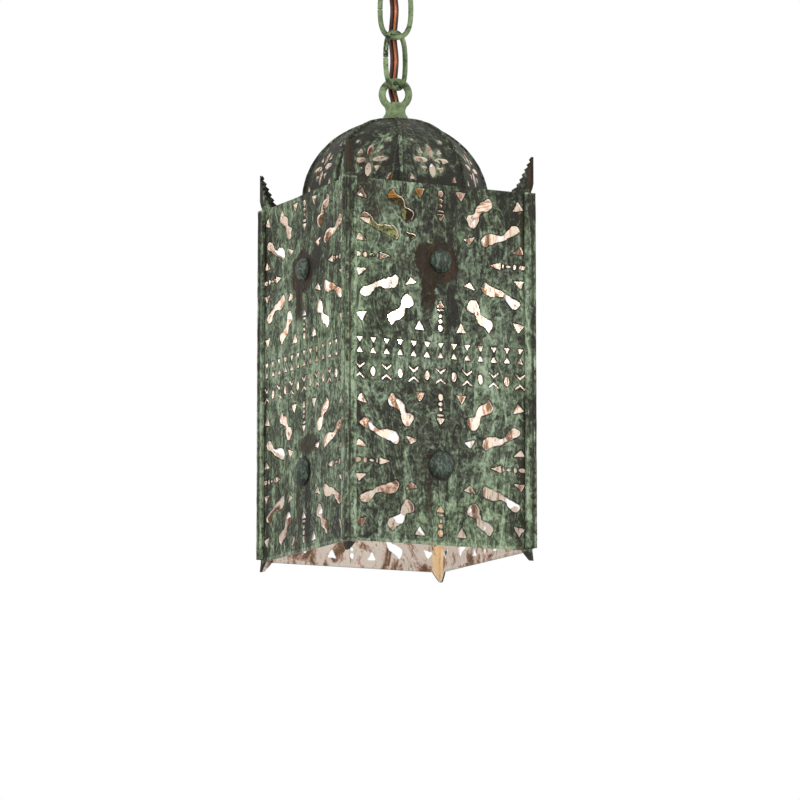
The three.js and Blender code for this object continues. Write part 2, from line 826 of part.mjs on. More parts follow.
// Cord route: how far the cord's middle line stands aside from the axis, from the ceiling down

const hubNeckTop = hubFoot + loopNeckHeight;
const firstCrossing = canopyLoopBar + loopWireRadius;
const secondCrossing = upperLinkMiddle - linkLength / 2 + 2 * linkWireRadius;
const thirdCrossing = lowestLinkBar + linkWireRadius;
const cordTop = -nippleRecess - 1;
const cordBottom = bodyBottom + socketBodyTop + 1;
const inBore = 0.7;
const atLoop = 6.8;
const atCrossing = 6.2;
const atMiddle = 2.2;
const route = [
  [cordTop, inBore],
  [canopyLoopFoot + 8, inBore],
  [canopyLoopFoot - loopNeckHeight + 2, inBore],
  [canopyLoopFoot - loopNeckHeight - 2, inBore + 0.9],
  [firstCrossing + 1, atLoop],
  [upperLinkMiddle, atMiddle],
  [secondCrossing, atCrossing],
  [lowerLinkMiddle, atMiddle],
  [thirdCrossing - 1, atLoop],
  [hubNeckTop + 2, inBore + 0.9],
  [hubNeckTop - 2, inBore],
  [hubFoot, inBore],
  [cordBottom, inBore],
];

const away = onCircle(1, radians(cordTurn));

// A stretch of the route, which keeps the flat cord's width square to the plane that the route lies in
class CordRoute extends THREE.Curve {
  constructor(line, from, to) {
    super();
    Object.assign(this, { line, from, to });
  }

  getPoint(t) {
    return this.line.getPoint(THREE.MathUtils.lerp(this.from, this.to, t));
  }

  computeFrenetFrames(steps) {
    const wide = new THREE.Vector3(-away.y, away.x, 0);
    const tangents = Array.from({ length: steps + 1 }, (_, k) => this.getTangentAt(k / steps));
    return {
      tangents,
      normals: tangents.map(() => wide),
      binormals: tangents.map((tangent) => tangent.clone().cross(wide)),
    };
  }
}

function cordLine(offset) {
  const points = route.map(([z, aside]) => new THREE.Vector3(away.x * (aside + offset), away.y * (aside + offset), z));
  return new THREE.CatmullRomCurve3(points, false, 'centripetal');
}

// The cord and its ground wire are laid in three stretches, parted at the middle of each link
function stretchOf(line, section, first, last) {
  const spans = route.length - 1;
  const trim = gap / 2 / line.getLength();
  const part = new CordRoute(line, first / spans + trim, last / spans - trim);
  const steps = Math.max(4, Math.round(part.getLength() / cordStep));
  return new THREE.ExtrudeGeometry(section, { steps, extrudePath: part });
}

// Two cores side by side make a section with flat faces and round edges
function flatCord() {
  const half = cordWidth / 2;
  const end = cordThickness / 2;
  const flat = half - end;
  const round = flat + end * 0.8;
  const corner = (x, y) => point(x, y * end);
  return new THREE.Shape([
    corner(flat, -1),
    corner(round, -0.5),
    corner(round, 0.5),
    corner(flat, 1),
    corner(-flat, 1),
    corner(-round, 0.5),
    corner(-round, -0.5),
    corner(-flat, -1),
  ]);
}

const cordSection = flatCord();
const groundSection = new THREE.Shape(polygon(groundRadius, 8));
const partings = [0, 5, 7, route.length - 1];
['top', 'middle', 'bottom'].forEach((place, k) => {
  const [first, last] = [partings[k], partings[k + 1]];
  add(lamp, `cord_${place}`, stretchOf(cordLine(0), cordSection, first, last), brownCord);
  add(lamp, `ground_wire_${place}`, stretchOf(cordLine(groundOffset), groundSection, first, last), bareCopper);
});

export default lamp;
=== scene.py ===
"""Square pierced metal lantern with a domed roof, hung on two chain links from a ceiling canopy.

Tables and drawings here are in millimetres, and a mesh turns them into metres. The ceiling is at z = 0.
"""

import json
import math
from types import SimpleNamespace

import bmesh
import bpy
from mathutils import Matrix, Vector
from mathutils import noise as perlin
from mathutils.geometry import delaunay_2d_cdt
from mathutils.kdtree import KDTree

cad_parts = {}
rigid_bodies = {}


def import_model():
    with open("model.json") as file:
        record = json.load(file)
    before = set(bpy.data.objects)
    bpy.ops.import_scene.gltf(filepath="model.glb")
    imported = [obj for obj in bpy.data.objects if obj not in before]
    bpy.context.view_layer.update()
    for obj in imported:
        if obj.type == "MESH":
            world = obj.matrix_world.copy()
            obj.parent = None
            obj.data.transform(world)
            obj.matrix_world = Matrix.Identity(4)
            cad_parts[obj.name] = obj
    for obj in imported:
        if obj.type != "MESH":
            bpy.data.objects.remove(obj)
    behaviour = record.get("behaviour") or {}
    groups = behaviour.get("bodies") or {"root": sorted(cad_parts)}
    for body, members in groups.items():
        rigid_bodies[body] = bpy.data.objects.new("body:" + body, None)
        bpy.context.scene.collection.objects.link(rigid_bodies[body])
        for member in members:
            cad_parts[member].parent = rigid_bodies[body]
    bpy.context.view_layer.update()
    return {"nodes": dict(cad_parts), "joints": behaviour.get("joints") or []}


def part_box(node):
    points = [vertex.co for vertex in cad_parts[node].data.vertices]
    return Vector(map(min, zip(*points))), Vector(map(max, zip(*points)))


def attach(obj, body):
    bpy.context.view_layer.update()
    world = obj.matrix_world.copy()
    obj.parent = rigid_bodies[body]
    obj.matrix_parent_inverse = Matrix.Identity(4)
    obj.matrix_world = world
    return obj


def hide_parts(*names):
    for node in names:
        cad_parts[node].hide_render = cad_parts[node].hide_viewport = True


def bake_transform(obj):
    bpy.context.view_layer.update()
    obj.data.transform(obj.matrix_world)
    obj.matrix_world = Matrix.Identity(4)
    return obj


bl_info = {
    "name": "Pierced pendant lantern",
    "version": (1, 0, 0),
    "blender": (4, 5, 0),
    "location": "3D View > Sidebar > Lantern",
    "description": "Builds the looks of a pierced metal lantern round its packed model",
    "category": "Object",
}

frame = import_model()

MM = 0.001


def srgb(red, green, blue):
    """A colour written as in a picture, out of 255, as linear light."""
    return tuple(((c / 255 + 0.055) / 1.055) ** 2.4 if c > 10 else c / 255 / 12.92 for c in (red, green, blue))


def low(node):
    """Lowest corner of a CAD node, in millimetres."""
    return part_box(node)[0] / MM


def high(node):
    """Highest corner of a CAD node, in millimetres."""
    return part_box(node)[1] / MM


def ends(node):
    """Bottom and top of a CAD node, in millimetres."""
    return low(node).z, high(node).z


# Places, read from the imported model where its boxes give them, and otherwise as its source has them

HALF_SIDE = -low("panel_front").y
BODY_TOP = high("roof_plate").z
TAB_DROP = 6.2  # how far the corner tabs hang down
BODY_BOTTOM = low("panel_front").z + TAB_DROP
BODY_HEIGHT = BODY_TOP - BODY_BOTTOM
LEAF_HEIGHT = high("panel_front").z - BODY_TOP
LEAF_WIDTH, TAB_WIDTH = 12, 6
CORNER_LAP = 1.3  # by which a panel is short of the corner, for the next one to lap over it
DOME_BASE = low("dome_gore_1").z
DOME_RADIUS, DOME_HEIGHT = 53, 51.7
DOME_HOLE = 6  # radius of the hole for the hub, in the dome's top
GORES = 8
HALF_GORE = math.pi / GORES
RIB_WIDTH = 2.2
LOWER_MEDALLION, UPPER_MEDALLION = 49, 175  # the middles of a panel's two round patterns, over its bottom edge
CHAIN_FACING, CHAIN_CROSSING = -26.2, 24.8  # turns of the links and loops, every other one, in degrees
CHAIN_PITTED = (-99.6, -84)  # the heights between which the lower link is pitted
SIDES = ("front", "right", "back", "left")
CORNERS = ("front_left", "front_right", "back_right", "back_left")
STRIP_CORNER = 64.9  # the strips' rounded back, out from the axis
STRIP_END = 57.6  # where their legs end
LINK_WIDTH, LINK_HEIGHT, LINK_WIRE = 23, 39.6, 1.7  # a link's outside and its wire's radius
BAR = 2.3  # radius of the cast loops' rings, in section
RING_HEIGHT = 15.5  # the middle of a loop's ring, over its foot
RING_RADIUS = 8.3  # to the middle of the ring's bar
LOOP_FOOT = 7.9  # radius of a loop's foot
HUB_SPIGOT = 1.3  # how far the hub loop goes into the dome
STUB_RADIUS, STUB_PLAY = 12.4, 0.3  # the canopy loop's threaded stub, and what the canopy and ring nut leave it
NIPPLE_RADIUS, NIPPLE_BORE = 5, 3.8
NIPPLE_HOLE = 5.35  # what a nipple goes through

# The height of the joint on which each body hangs
SWING_HEIGHT = {joint["child"]: joint["pos_m"][2] / MM for joint in frame["joints"] if "pos_m" in joint}


# Sizes and colours that a user would change


def length(label, words, value):
    """A length property, in metres."""
    return bpy.props.FloatProperty(name=label, description=words, default=value, unit="LENGTH")


def watts(label, words, value):
    """The power of a lamp, in watts."""
    return bpy.props.FloatProperty(name=label, description=words, default=value, min=0, unit="POWER")


def degrees(label, words, value):
    """An angle property, with its default written in degrees."""
    return bpy.props.FloatProperty(name=label, description=words, default=math.radians(value), subtype="ANGLE")


def colour(label, words, value):
    """A colour property, with its default written as in a picture."""
    return bpy.props.FloatVectorProperty(
        name=label, description=words, default=srgb(*value), subtype="COLOR", size=3, min=0, max=1
    )


def keys_of(group):
    """The names of a group's own properties."""
    return [key for key in group.bl_rna.properties.keys() if key not in ("rna_type", "name")]


class LanternSizes(bpy.types.PropertyGroup):
    """Sizes of the lantern's sheet, wire and cord"""

    sheet: length("Sheet thickness", "Thickness of the pierced sheets", 0.001)
    mesh_step: length("Mesh step", "Size of the small faces that let a sheet be dented", 0.0028)
    dent_depth: length("Dent depth", "How far the hand-beaten sheet strays from flat", 0.0007)
    dent_size: length("Dent size", "Distance between one dent and the next", 0.032)
    hole_wobble: length("Hole wobble", "How far hand-cut edges stray from their drawn line", 0.0005)
    boss_radius: length("Boss radius", "Radius of the domed studs", 0.008)
    boss_height: length("Boss height", "Height of the domed studs", 0.0046)
    link_wire: length("Link wire radius", "Radius of the chain's wire", 0.0016)
    cord_width: length("Cord width", "Width of the flat twin cord", 0.0055)
    cord_thickness: length("Cord thickness", "Thickness of the flat twin cord", 0.0028)


class LanternColours(bpy.types.PropertyGroup):
    """Colours of the lantern's finishes"""

    crust_dark: colour("Crust, dark", "Darkest olive-black of the aged sheet", (34, 32, 25))
    crust_deep: colour("Crust, deep", "Deep green of the aged sheet", (58, 61, 50))
    crust_mid: colour("Crust, middle", "Middle green of the aged sheet", (90, 99, 82))
    crust_light: colour("Crust, light", "Light verdigris", (126, 142, 116))
    crust_pale: colour("Crust, pale", "Palest verdigris", (167, 182, 158))
    bare_brown: colour("Bare metal, dark", "Dark brown metal where the crust has gone", (43, 33, 21))
    bare_rust: colour("Bare metal, rusty", "Rusty streaks in the bare metal", (84, 60, 42))
    stud_dark: colour("Boss, dark", "Blue-green black of the bosses", (35, 44, 36))
    # the bosses' light arcs: partly rubbed metal, partly painted highlight
    stud_rubbed_highlight: colour("Boss, rubbed", "Rubbed places on the bosses", (118, 138, 118))
    inside_pale: colour("Inside, pale", "Chalky film inside the body", (220, 216, 210))
    inside_rose: colour("Inside, rose", "Rosy metal inside the body", (194, 166, 152))
    inside_brown: colour("Inside, brown", "Brown stains inside the body", (106, 82, 60))
    solder: colour("Solder", "Golden solder run in one bottom corner", (250, 224, 178))
    cut_edge: colour("Cut edge", "Cut edges of the holes", (228, 214, 204))
    sage_light: colour("Sage, light", "Light green of the chain", (150, 170, 124))
    sage_mid: colour("Sage, middle", "Middle green of the chain", (112, 130, 92))
    sage_deep: colour("Sage, deep", "Olive shade of the chain", (66, 78, 54))
    # also the painted shade where the links meet
    sage_dark: colour("Sage, dark", "Dark spots where the chain rubs", (38, 44, 35))
    sleeve_green: colour("Sleeve, green", "Green paint of the socket's shell", (142, 162, 112))
    sleeve_pale: colour("Sleeve, pale", "Pale spots of the socket's shell", (190, 202, 162))
    brass: colour("Brass", "Brass of the socket and nipples", (206, 160, 88))
    zinc: colour("Zinc", "Plated steel of the strap and nuts", (182, 184, 182))
    fibre: colour("Fibre", "Card liner of the socket", (62, 46, 38))
    phenolic: colour("Phenolic", "Moulded inside of the socket", (36, 29, 27))
    cord: colour("Cord", "Brown plastic of the cord", (54, 28, 15))
    copper: colour("Copper", "Bare ground wire", (190, 110, 76))
    glow: colour("Glow", "Colour of the bulb's light", (255, 233, 211))


class LanternStudio(bpy.types.PropertyGroup):
    """Camera and light"""

    turn: degrees("Turn", "Where the camera stands round the lamp", 26.19)
    distance: length("Distance", "From the lamp's axis to the camera", 3.0277)
    aside: length("Aside", "How far the camera stands aside from the axis", 0.00285)
    eye: length("Eye height", "Camera height, from the ceiling", -0.78875)
    tilt: degrees("Tilt", "How far the camera looks up", 8.897)
    lens: bpy.props.FloatProperty(name="Lens", description="Focal length", default=222.48, min=1, unit="CAMERA")
    sky: bpy.props.FloatProperty(
        name="Surrounding light", description="Strength of the even light from all round", default=0.62, min=0
    )
    left_lamp: watts("Left lamp", "Power of the soft lamp on the left", 26)
    right_lamp: watts("Right lamp", "Power of the soft lamp on the right", 34)
    top_lamp: watts("Top lamp", "Power of the soft lamp above", 18)
    bulb_power: watts("Bulb", "Power of the light in the bulb", 0.3)
    floor_height: length("Floor height", "Floor, from the ceiling", -3.2)


# Nodes, for materials and for geometry


class Wire:
    """An output socket, which Python's operators join to Math nodes."""

    def __init__(self, nodes, socket):
        self.nodes = nodes
        self.socket = socket

    def math(self, operation, *values):
        return self.nodes.node("ShaderNodeMath", {"operation": operation}, dict(enumerate(values)))

    def __add__(self, other):
        return self.math("ADD", self, other)

    def __sub__(self, other):
        return self.math("SUBTRACT", self, other)

    def __mul__(self, other):
        return self.math("MULTIPLY", self, other)

    def __truediv__(self, other):
        return self.math("DIVIDE", self, other)

    def __radd__(self, other):
        return self.math("ADD", other, self)

    def __rsub__(self, other):
        return self.math("SUBTRACT", other, self)

    def __rmul__(self, other):
        return self.math("MULTIPLY", other, self)

    def __pow__(self, exponent):
        return self.math("POWER", self, exponent)

    def __abs__(self):
        return self.math("ABSOLUTE", self)

    def least(self, other):
        return self.math("MINIMUM", self, other)

    def most(self, other):
        return self.math("MAXIMUM", self, other)

    def rise(self, start, end):
        """0 before start, 1 after end, and smooth between them. It falls where end is the lower."""
        if start > end:
            return 1 - self.rise(end, start)
        settings = {"interpolation_type": "SMOOTHSTEP"}
        return self.nodes.node("ShaderNodeMapRange", settings, {"Value": self, "From Min": start, "From Max": end})

    def output(self, name):
        """Another output of the same node."""
        return Wire(self.nodes, self.socket.node.outputs[name])


class Nodes:
    """A node tree, and the one way that nodes are added to it."""

    def __init__(self, tree):
        self.tree = tree

    def node(self, kind, settings=None, sockets=None, output=0):
        made = self.tree.nodes.new(kind)
        for key, value in (settings or {}).items():
            if key == "stops":
                ramp = made.color_ramp.elements
                while len(ramp) < len(value):
                    ramp.new(1)
                for element, (place, shade) in zip(ramp, value):
                    element.position = place
                    element.color = (*shade, 1)
            else:
                setattr(made, key, value)
        for key, value in (sockets or {}).items():
            if isinstance(value, Wire):
                self.tree.links.new(value.socket, made.inputs[key])
            elif isinstance(value, tuple) and len(value) == 3 and made.inputs[key].type == "RGBA":
                made.inputs[key].default_value = (*value, 1)
            else:
                made.inputs[key].default_value = value
        return Wire(self, made.outputs[output]) if made.outputs else made


class Paint(Nodes):
    """A material that is being made."""

    def __init__(self, name):
        self.material = bpy.data.materials.new(name)
        self.material.use_nodes = True
        super().__init__(self.material.node_tree)
        self.tree.nodes.clear()
        self.place = self.node("ShaderNodeTexCoord", {}, {}, "Object")

    def noise(self, scale, detail=3, roughness=0.55, place=None, distortion=0.0):
        """Smooth noise, with about `scale` features to a metre."""
        sockets = {"Vector": place or self.place, "Scale": scale, "Detail": detail, "Roughness": roughness}
        return self.node("ShaderNodeTexNoise", {}, {**sockets, "Distortion": distortion})

    def stretched(self, z, shift=(0, 0, 0)):
        """The place on the object, moved and scaled along Z. Patterns run down where z is below 1."""
        return self.node("ShaderNodeMapping", {}, {"Vector": self.place, "Location": shift, "Scale": (1, 1, z)})

    def stray(self, scale, roughness=0.6, z=1):
        """Noise about 0, which lets an edge wander."""
        return (self.noise(scale, 3, roughness, self.stretched(z)) - 0.5) * 2

    def axes(self, place=None):
        """The three numbers of a place."""
        split = self.node("ShaderNodeSeparateXYZ", {}, {"Vector": place or self.place})
        return split, split.output("Y"), split.output("Z")

    def mix(self, share, one, other):
        return self.node("ShaderNodeMix", {"data_type": "RGBA"}, {0: share, 6: one, 7: other}, 2)

    def ramp(self, share, stops):
        return self.node("ShaderNodeValToRGB", {"stops": stops}, {"Fac": share})

    def tint(self, share, shade, by):
        """The shade, multiplied by another colour in part."""
        settings = {"data_type": "RGBA", "blend_type": "MULTIPLY"}
        return self.node("ShaderNodeMix", settings, {0: share, 6: shade, 7: by}, 2)

    def drawn(self):
        """Place on the flat sheet, across and up, and 1 at the edge of an opening to 0 a little way off."""
        return self.axes(self.node("ShaderNodeAttribute", {"attribute_name": "drawn"}, {}, "Vector"))

    def bump(self, height, distance, strength=1.0):
        return self.node("ShaderNodeBump", {}, {"Height": height, "Distance": distance, "Strength": strength})

    def finish(self, **sockets):
        """The surface itself. A name like base_color is the shader's socket Base Color."""
        words = {key.replace("_", " ").title().replace("Ior", "IOR"): value for key, value in sockets.items()}
        shader = self.node("ShaderNodeBsdfPrincipled", {}, words)
        self.node("ShaderNodeOutputMaterial", {}, {"Surface": shader})
        return self.material


class Growth(Nodes):
    """A Geometry Nodes tree with named inputs, which takes a mesh and gives a mesh."""

    def __init__(self, name, **inputs):
        super().__init__(bpy.data.node_groups.new(name, "GeometryNodeTree"))
        face = self.tree.interface
        face.new_socket("Geometry", in_out="INPUT", socket_type="NodeSocketGeometry")
        face.new_socket("Geometry", in_out="OUTPUT", socket_type="NodeSocketGeometry")
        self.keys = {}
        for key, kind in inputs.items():
            words = key.replace("_", " ").capitalize()
            made = face.new_socket(words, in_out="INPUT", socket_type=f"NodeSocket{kind}")
            self.keys[key] = made.identifier
        self.inputs = self.node("NodeGroupInput")

    def given(self, key):
        """The tree's input of that name."""
        return self.inputs.output(key.replace("_", " ").capitalize())

    def attribute(self, name):
        return self.node("GeometryNodeInputNamedAttribute", {"data_type": "FLOAT_VECTOR"}, {"Name": name})

    def end(self, geometry):
        """Every tree ends in Realize Instances and Set Material."""
        real = self.node("GeometryNodeRealizeInstances", {}, {"Geometry": geometry})
        dressed = self.node("GeometryNodeSetMaterial", {}, {"Geometry": real, "Material": self.given("material")})
        self.node("NodeGroupOutput", {}, {"Geometry": dressed})
        return self

    def run(self, mesh, **values):
        """The tree's result on this mesh, as a plain mesh."""
        holder = in_scene("growth", mesh)
        modifier = holder.modifiers.new("growth", "NODES")
        modifier.node_group = self.tree
        for key, value in values.items():
            modifier[self.keys[key]] = value
        made = plain(holder)
        if not made.vertices:
            raise RuntimeError(f"{self.tree.name} made nothing")
        return made


def in_scene(name, data):
    """A new object, linked to the scene."""
    made = bpy.data.objects.new(name, data)
    bpy.context.scene.collection.objects.link(made)
    return made


def plain(holder):
    """The evaluated object as a plain mesh. The object is removed, and its modifiers with it."""
    bpy.context.view_layer.update()
    graph = bpy.context.evaluated_depsgraph_get()
    shown = holder.evaluated_get(graph)
    made = bpy.data.meshes.new_from_object(shown, preserve_all_data_layers=True, depsgraph=graph)
    bpy.data.objects.remove(holder)
    return made


def stamp_tree():
    """A motif at every point, with the point's own turn and flip, and with edges that stray a little."""
    tree = Growth("Stamp", motif="Object", wobble="Float", wobble_size="Float", seed="Float", material="Material")
    motif = tree.node("GeometryNodeObjectInfo", {}, {"Object": tree.given("motif")}, "Geometry")
    ways = {"Rotation": tree.attribute("turn"), "Scale": tree.attribute("flip")}
    copies = tree.node("GeometryNodeInstanceOnPoints", {}, {"Points": tree.inputs, "Instance": motif, **ways})
    real = tree.node("GeometryNodeRealizeInstances", {}, {"Geometry": copies})
    sockets = {"W": tree.given("seed"), "Scale": tree.given("wobble_size"), "Detail": 1.0}
    noise = tree.node("ShaderNodeTexNoise", {"noise_dimensions": "4D"}, sockets, "Color")
    centred = tree.node("ShaderNodeVectorMath", {"operation": "SUBTRACT"}, {0: noise, 1: (0.5, 0.5, 0.5)})
    sockets = {0: centred, "Scale": tree.given("wobble") * 4}
    offset = tree.node("ShaderNodeVectorMath", {"operation": "SCALE"}, sockets)
    moved = tree.node("GeometryNodeSetPosition", {}, {"Geometry": real, "Offset": offset})
    return tree.end(moved)


def sweep_tree():
    """A round wire along the mesh's edges, with closed ends and a slightly uneven thickness."""
    tree = Growth("Sweep", radius="Float", sides="Int", unevenness="Float", material="Material")
    path = tree.node("GeometryNodeMeshToCurve", {}, {"Mesh": tree.inputs})
    noise = tree.node("ShaderNodeTexNoise", {}, {"Scale": 260.0, "Detail": 1.0})
    swell = 1 + (noise - 0.5) * tree.given("unevenness")
    section = tree.node(
        "GeometryNodeCurvePrimitiveCircle", {}, {"Resolution": tree.given("sides"), "Radius": tree.given("radius")}
    )
    wire = tree.node(
        "GeometryNodeCurveToMesh", {}, {"Curve": path, "Profile Curve": section, "Scale": swell, "Fill Caps": True}
    )
    return tree.end(wire)


# Drawing in two dimensions, as lists of (x, y)


def smoothed(points, step):
    """A closed smooth line through the points, in steps of about that length."""
    line = []
    count = len(points)
    for k in range(count):
        a, b, c, d = (Vector(points[(k + i) % count]) for i in (-1, 0, 1, 2))
        parts = max(2, round((c - b).length / step))
        for i in range(parts):
            t = i / parts
            spot = 2 * b + (c - a) * t + (2 * a - 5 * b + 4 * c - d) * t * t + (3 * b - a - 3 * c + d) * t * t * t
            line.append(0.5 * spot)
    return [tuple(p) for p in line]


def rounded(points, radius, steps=3):
    """The polygon again, with an arc at each corner. A radius may be one number, or one for each corner."""
    count = len(points)
    radii = radius if isinstance(radius, (list, tuple)) else [radius] * count
    line = []
    for k in range(count):
        here = Vector(points[k])
        if radii[k] <= 0:
            line.append(tuple(here))
            continue
        before = Vector(points[k - 1]) - here
        after = Vector(points[(k + 1) % count]) - here
        bend = before.angle(after)
        if bend > math.pi - 0.05:
            line.append(tuple(here))
            continue
        back = min(radii[k] / math.tan(bend / 2), before.length * 0.49, after.length * 0.49)
        start, end = here + before.normalized() * back, here + after.normalized() * back
        for i in range(steps + 1):
            t = i / steps
            line.append(tuple(start * (1 - t) ** 2 + here * 2 * t * (1 - t) + end * t * t))
    return line


def divided(points, step):
    """The closed polygon again, with no side longer than the step."""
    line = []
    for k, here in enumerate(points):
        a, b = Vector(here), Vector(points[(k + 1) % len(points)])
        parts = max(1, math.ceil((b - a).length / step))
        line += [tuple(a.lerp(b, i / parts)) for i in range(parts)]
    return line


def area(points):
    return sum(a[0] * b[1] - b[0] * a[1] for a, b in zip(points, points[1:] + points[:1])) / 2


def wound(points):
    """The same polygon, anticlockwise."""
    return points if area(points) > 0 else points[::-1]


def circle(radius, sides):
    turns = [2 * math.pi * k / sides for k in range(sides)]
    return [(radius * math.cos(t), radius * math.sin(t)) for t in turns]


def oval(width, height, x=0.0, y=0.0):
    return [(x + px * width / 2, y + py * height / 2) for px, py in circle(1, 12)]


def inside(points, x, y):
    """True where the point lies in the polygon."""
    hit = False
    for (ax, ay), (bx, by) in zip(points, points[1:] + points[:1]):
        if (ay > y) != (by > y) and x < (bx - ax) * (y - ay) / (by - ay) + ax:
            hit = not hit
    return hit


# Meshes


def mesh_from(name, points, faces, finishes=(), edges=()):
    """A mesh from millimetres, with its doubles left as they are."""
    made = bpy.data.meshes.new(name)
    made.from_pydata([Vector(p) * MM for p in points], list(edges), faces)
    for key in finishes:
        made.materials.append(FINISHES[key])
    return made


def tidy(mesh, sharp=38.0, outward=True):
    """Faces outward, smooth but for the edges sharper than the angle, in degrees."""
    work = bmesh.new()
    work.from_mesh(mesh)
    if outward and work.calc_volume(signed=True) < 0:
        bmesh.ops.reverse_faces(work, faces=work.faces)
    limit = math.radians(sharp)
    for face in work.faces:
        face.smooth = True
    for edge in work.edges:
        edge.smooth = len(edge.link_faces) == 2 and edge.calc_face_angle(0) < limit
    work.to_mesh(mesh)
    work.free()
    return mesh


def turned(name, profile, sides, finish, sharp=38.0, move=None):
    """A profile of (radius, height) turned round Z. It is closed, or its two ends lie on the axis."""
    closed = profile[0][0] > 0
    points, rings = [], []
    for radius, height in profile:
        if radius <= 0:
            rings.append([len(points)] * sides)
            points.append((0, 0, height))
        else:
            rings.append(list(range(len(points), len(points) + sides)))
            for k in range(sides):
                turn = 2 * math.pi * k / sides
                spot = Vector((radius * math.cos(turn), radius * math.sin(turn), height))
                points.append(move(spot, turn) if move else spot)
    faces = []
    for one, other in zip(rings, rings[1:] + rings[:1] if closed else rings[1:]):
        for k in range(sides):
            corners = [one[k - 1], one[k], other[k], other[k - 1]]
            kept = [c for i, c in enumerate(corners) if c not in corners[:i]]
            if len(kept) > 2:
                faces.append(kept)
    return tidy(mesh_from(name, points, faces, [finish]), sharp)


def prism(name, outline, depth, finish, holes, bevel):
    """An outline in XY with holes, raised from z = 0, with its top and bottom edges beveled."""
    loops = [wound(outline), *[wound(hole) for hole in holes]]
    flat, triangles = filled(loops)
    count = len(flat)
    points = [(x, y, 0) for x, y in flat] + [(x, y, depth) for x, y in flat]
    faces = [tuple(reversed(t)) for t in triangles] + [tuple(i + count for i in t) for t in triangles]
    start = 0
    for loop in loops:
        ring = list(range(start, start + len(loop)))
        for a, b in zip(ring, ring[1:] + ring[:1]):
            faces.append((a, b, b + count, a + count) if start == 0 else (b, a, a + count, b + count))
        start += len(loop)
    made = mesh_from(name, points, faces, [finish])
    holder = in_scene(name, made)
    edge = holder.modifiers.new("edge", "BEVEL")
    edge.width, edge.segments, edge.limit_method, edge.angle_limit = bevel * MM, 2, "ANGLE", math.radians(40)
    return tidy(plain(holder))


def filled(loops, extra=()):
    """Triangles between an outline and its holes, through the extra points inside. Loops are anticlockwise."""
    points, edges, faces = [], [], []
    for loop in loops:
        ring = list(range(len(points), len(points) + len(loop)))
        points += [Vector(p) for p in loop]
        edges += list(zip(ring, ring[1:] + ring[:1]))
        faces.append(ring)
    points += [Vector(p) for p in extra]
    flat, _, made, _, _, sources = delaunay_2d_cdt(points, edges, faces, 1, 1e-6, True)
    kept = [tuple(face) for face, source in zip(made, sources) if list(source) == [0]]
    if len(flat) != len(points):
        raise RuntimeError("a hole touches another hole or the sheet's edge")
    return [tuple(p) for p in flat], kept


def swept(path, section, name, finish, wide, sharp=50.0):
    """A closed section along an open path. Its own x points the way of `wide` all along."""
    points, faces = [], []
    count = len(section)
    for k, spot in enumerate(path):
        along = (path[min(k + 1, len(path) - 1)] - path[max(k - 1, 0)]).normalized()
        up = along.cross(wide).normalized()
        points += [spot + wide * x + up * y for x, y in section]
    for k in range(len(path) - 1):
        for i in range(count):
            a, b = k * count + i, k * count + (i + 1) % count
            faces.append((a, b, b + count, a + count))
    faces.append(tuple(reversed(range(count))))
    faces.append(tuple(range((len(path) - 1) * count, len(path) * count)))
    return tidy(mesh_from(name, points, faces, [finish]), sharp)


def show(name, mesh, body, slot, *nodes):
    """A finished mesh as a piece that rides on a body and stands for CAD nodes."""
    if not mesh.polygons:
        raise RuntimeError(f"{name} has no faces")
    piece = in_scene(name, mesh)
    mesh.name = name
    if body:
        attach(piece, body)
    if nodes:
        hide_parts(*nodes)
    return piece


def stamped(name, motif, stamps, finish, wobble, wobble_size, seed):
    """The motif's mesh at each (place, turn, flip), made by the stamp tree."""
    points = mesh_from(name, [place for place, _, _ in stamps], [])
    for key, values in (("turn", [turn for _, turn, _ in stamps]), ("flip", [flip for _, _, flip in stamps])):
        data = points.attributes.new(key, "FLOAT_VECTOR", "POINT").data
        data.foreach_set("vector", [number for value in values for number in value])
    holder = bpy.data.objects.new("motif", motif)
    material = FINISHES[finish] if finish else None
    made = TREES["stamp"].run(
        points, motif=holder, wobble=wobble * MM, wobble_size=wobble_size, seed=seed, material=material
    )
    bpy.data.objects.remove(holder)
    return made


# Finishes


def verdigris(paint, colours, seed=0.0, lift=0.0):
    """Tone, colour stops and height of the crust.

    Clouds, bands that ran down, blots, mottle and grain are added up, with pale veins, dark cracks and pits.
    """
    shift = (seed, seed * 0.7, seed * 0.3)
    place = paint.stretched(1, shift)
    clouds = paint.noise(24, 3, 0.55, paint.stretched(0.45, shift), 0.6).rise(0.38, 0.62)
    bands = paint.noise(100, 3, 0.55, paint.stretched(0.22, shift), 1.0).rise(0.48, 0.62)
    blots = paint.noise(165, 2, 0.5, place, 0.8).rise(0.40, 0.60)
    mottle = paint.noise(480, 2, 0.55, place).rise(0.36, 0.64)
    grain = paint.noise(1500, 2, 0.6, place) - 0.5
    pits = paint.noise(210, 3, 0.6, paint.stretched(1, (seed + 1, 2, 5)), 0.5).rise(0.57, 0.68)

    broad = paint.noise(54, 2, 0.5, paint.stretched(0.34, (seed + 3, 1, 2)), 1.8)
    thin = paint.noise(92, 2, 0.5, paint.stretched(0.42, (seed + 5, 3, 1)), 2.0)
    torn = paint.noise(78, 3, 0.6, paint.stretched(0.30, (seed + 9, 2, 4)), 2.4)
    veins = abs(broad - 0.5).rise(0.034, 0.010).most(abs(thin - 0.5).rise(0.028, 0.008) * 0.75)
    cracks = abs(torn - 0.5).rise(0.020, 0.006)

    tone = clouds * 0.28 + bands * 0.24 + veins * 0.28 + blots * 0.24 + mottle * 0.20 + grain * 0.16
    tone = tone - cracks * 0.26 - pits * 0.24 + lift
    relief = mottle * 0.4 + grain * 0.35 + veins * 0.25 - pits * 0.3 - cracks * 0.4
    shades = (colours.crust_dark, colours.crust_deep, colours.crust_mid, colours.crust_light, colours.crust_pale)
    return tone, list(zip((0.04, 0.28, 0.50, 0.72, 1.0), shades)), relief


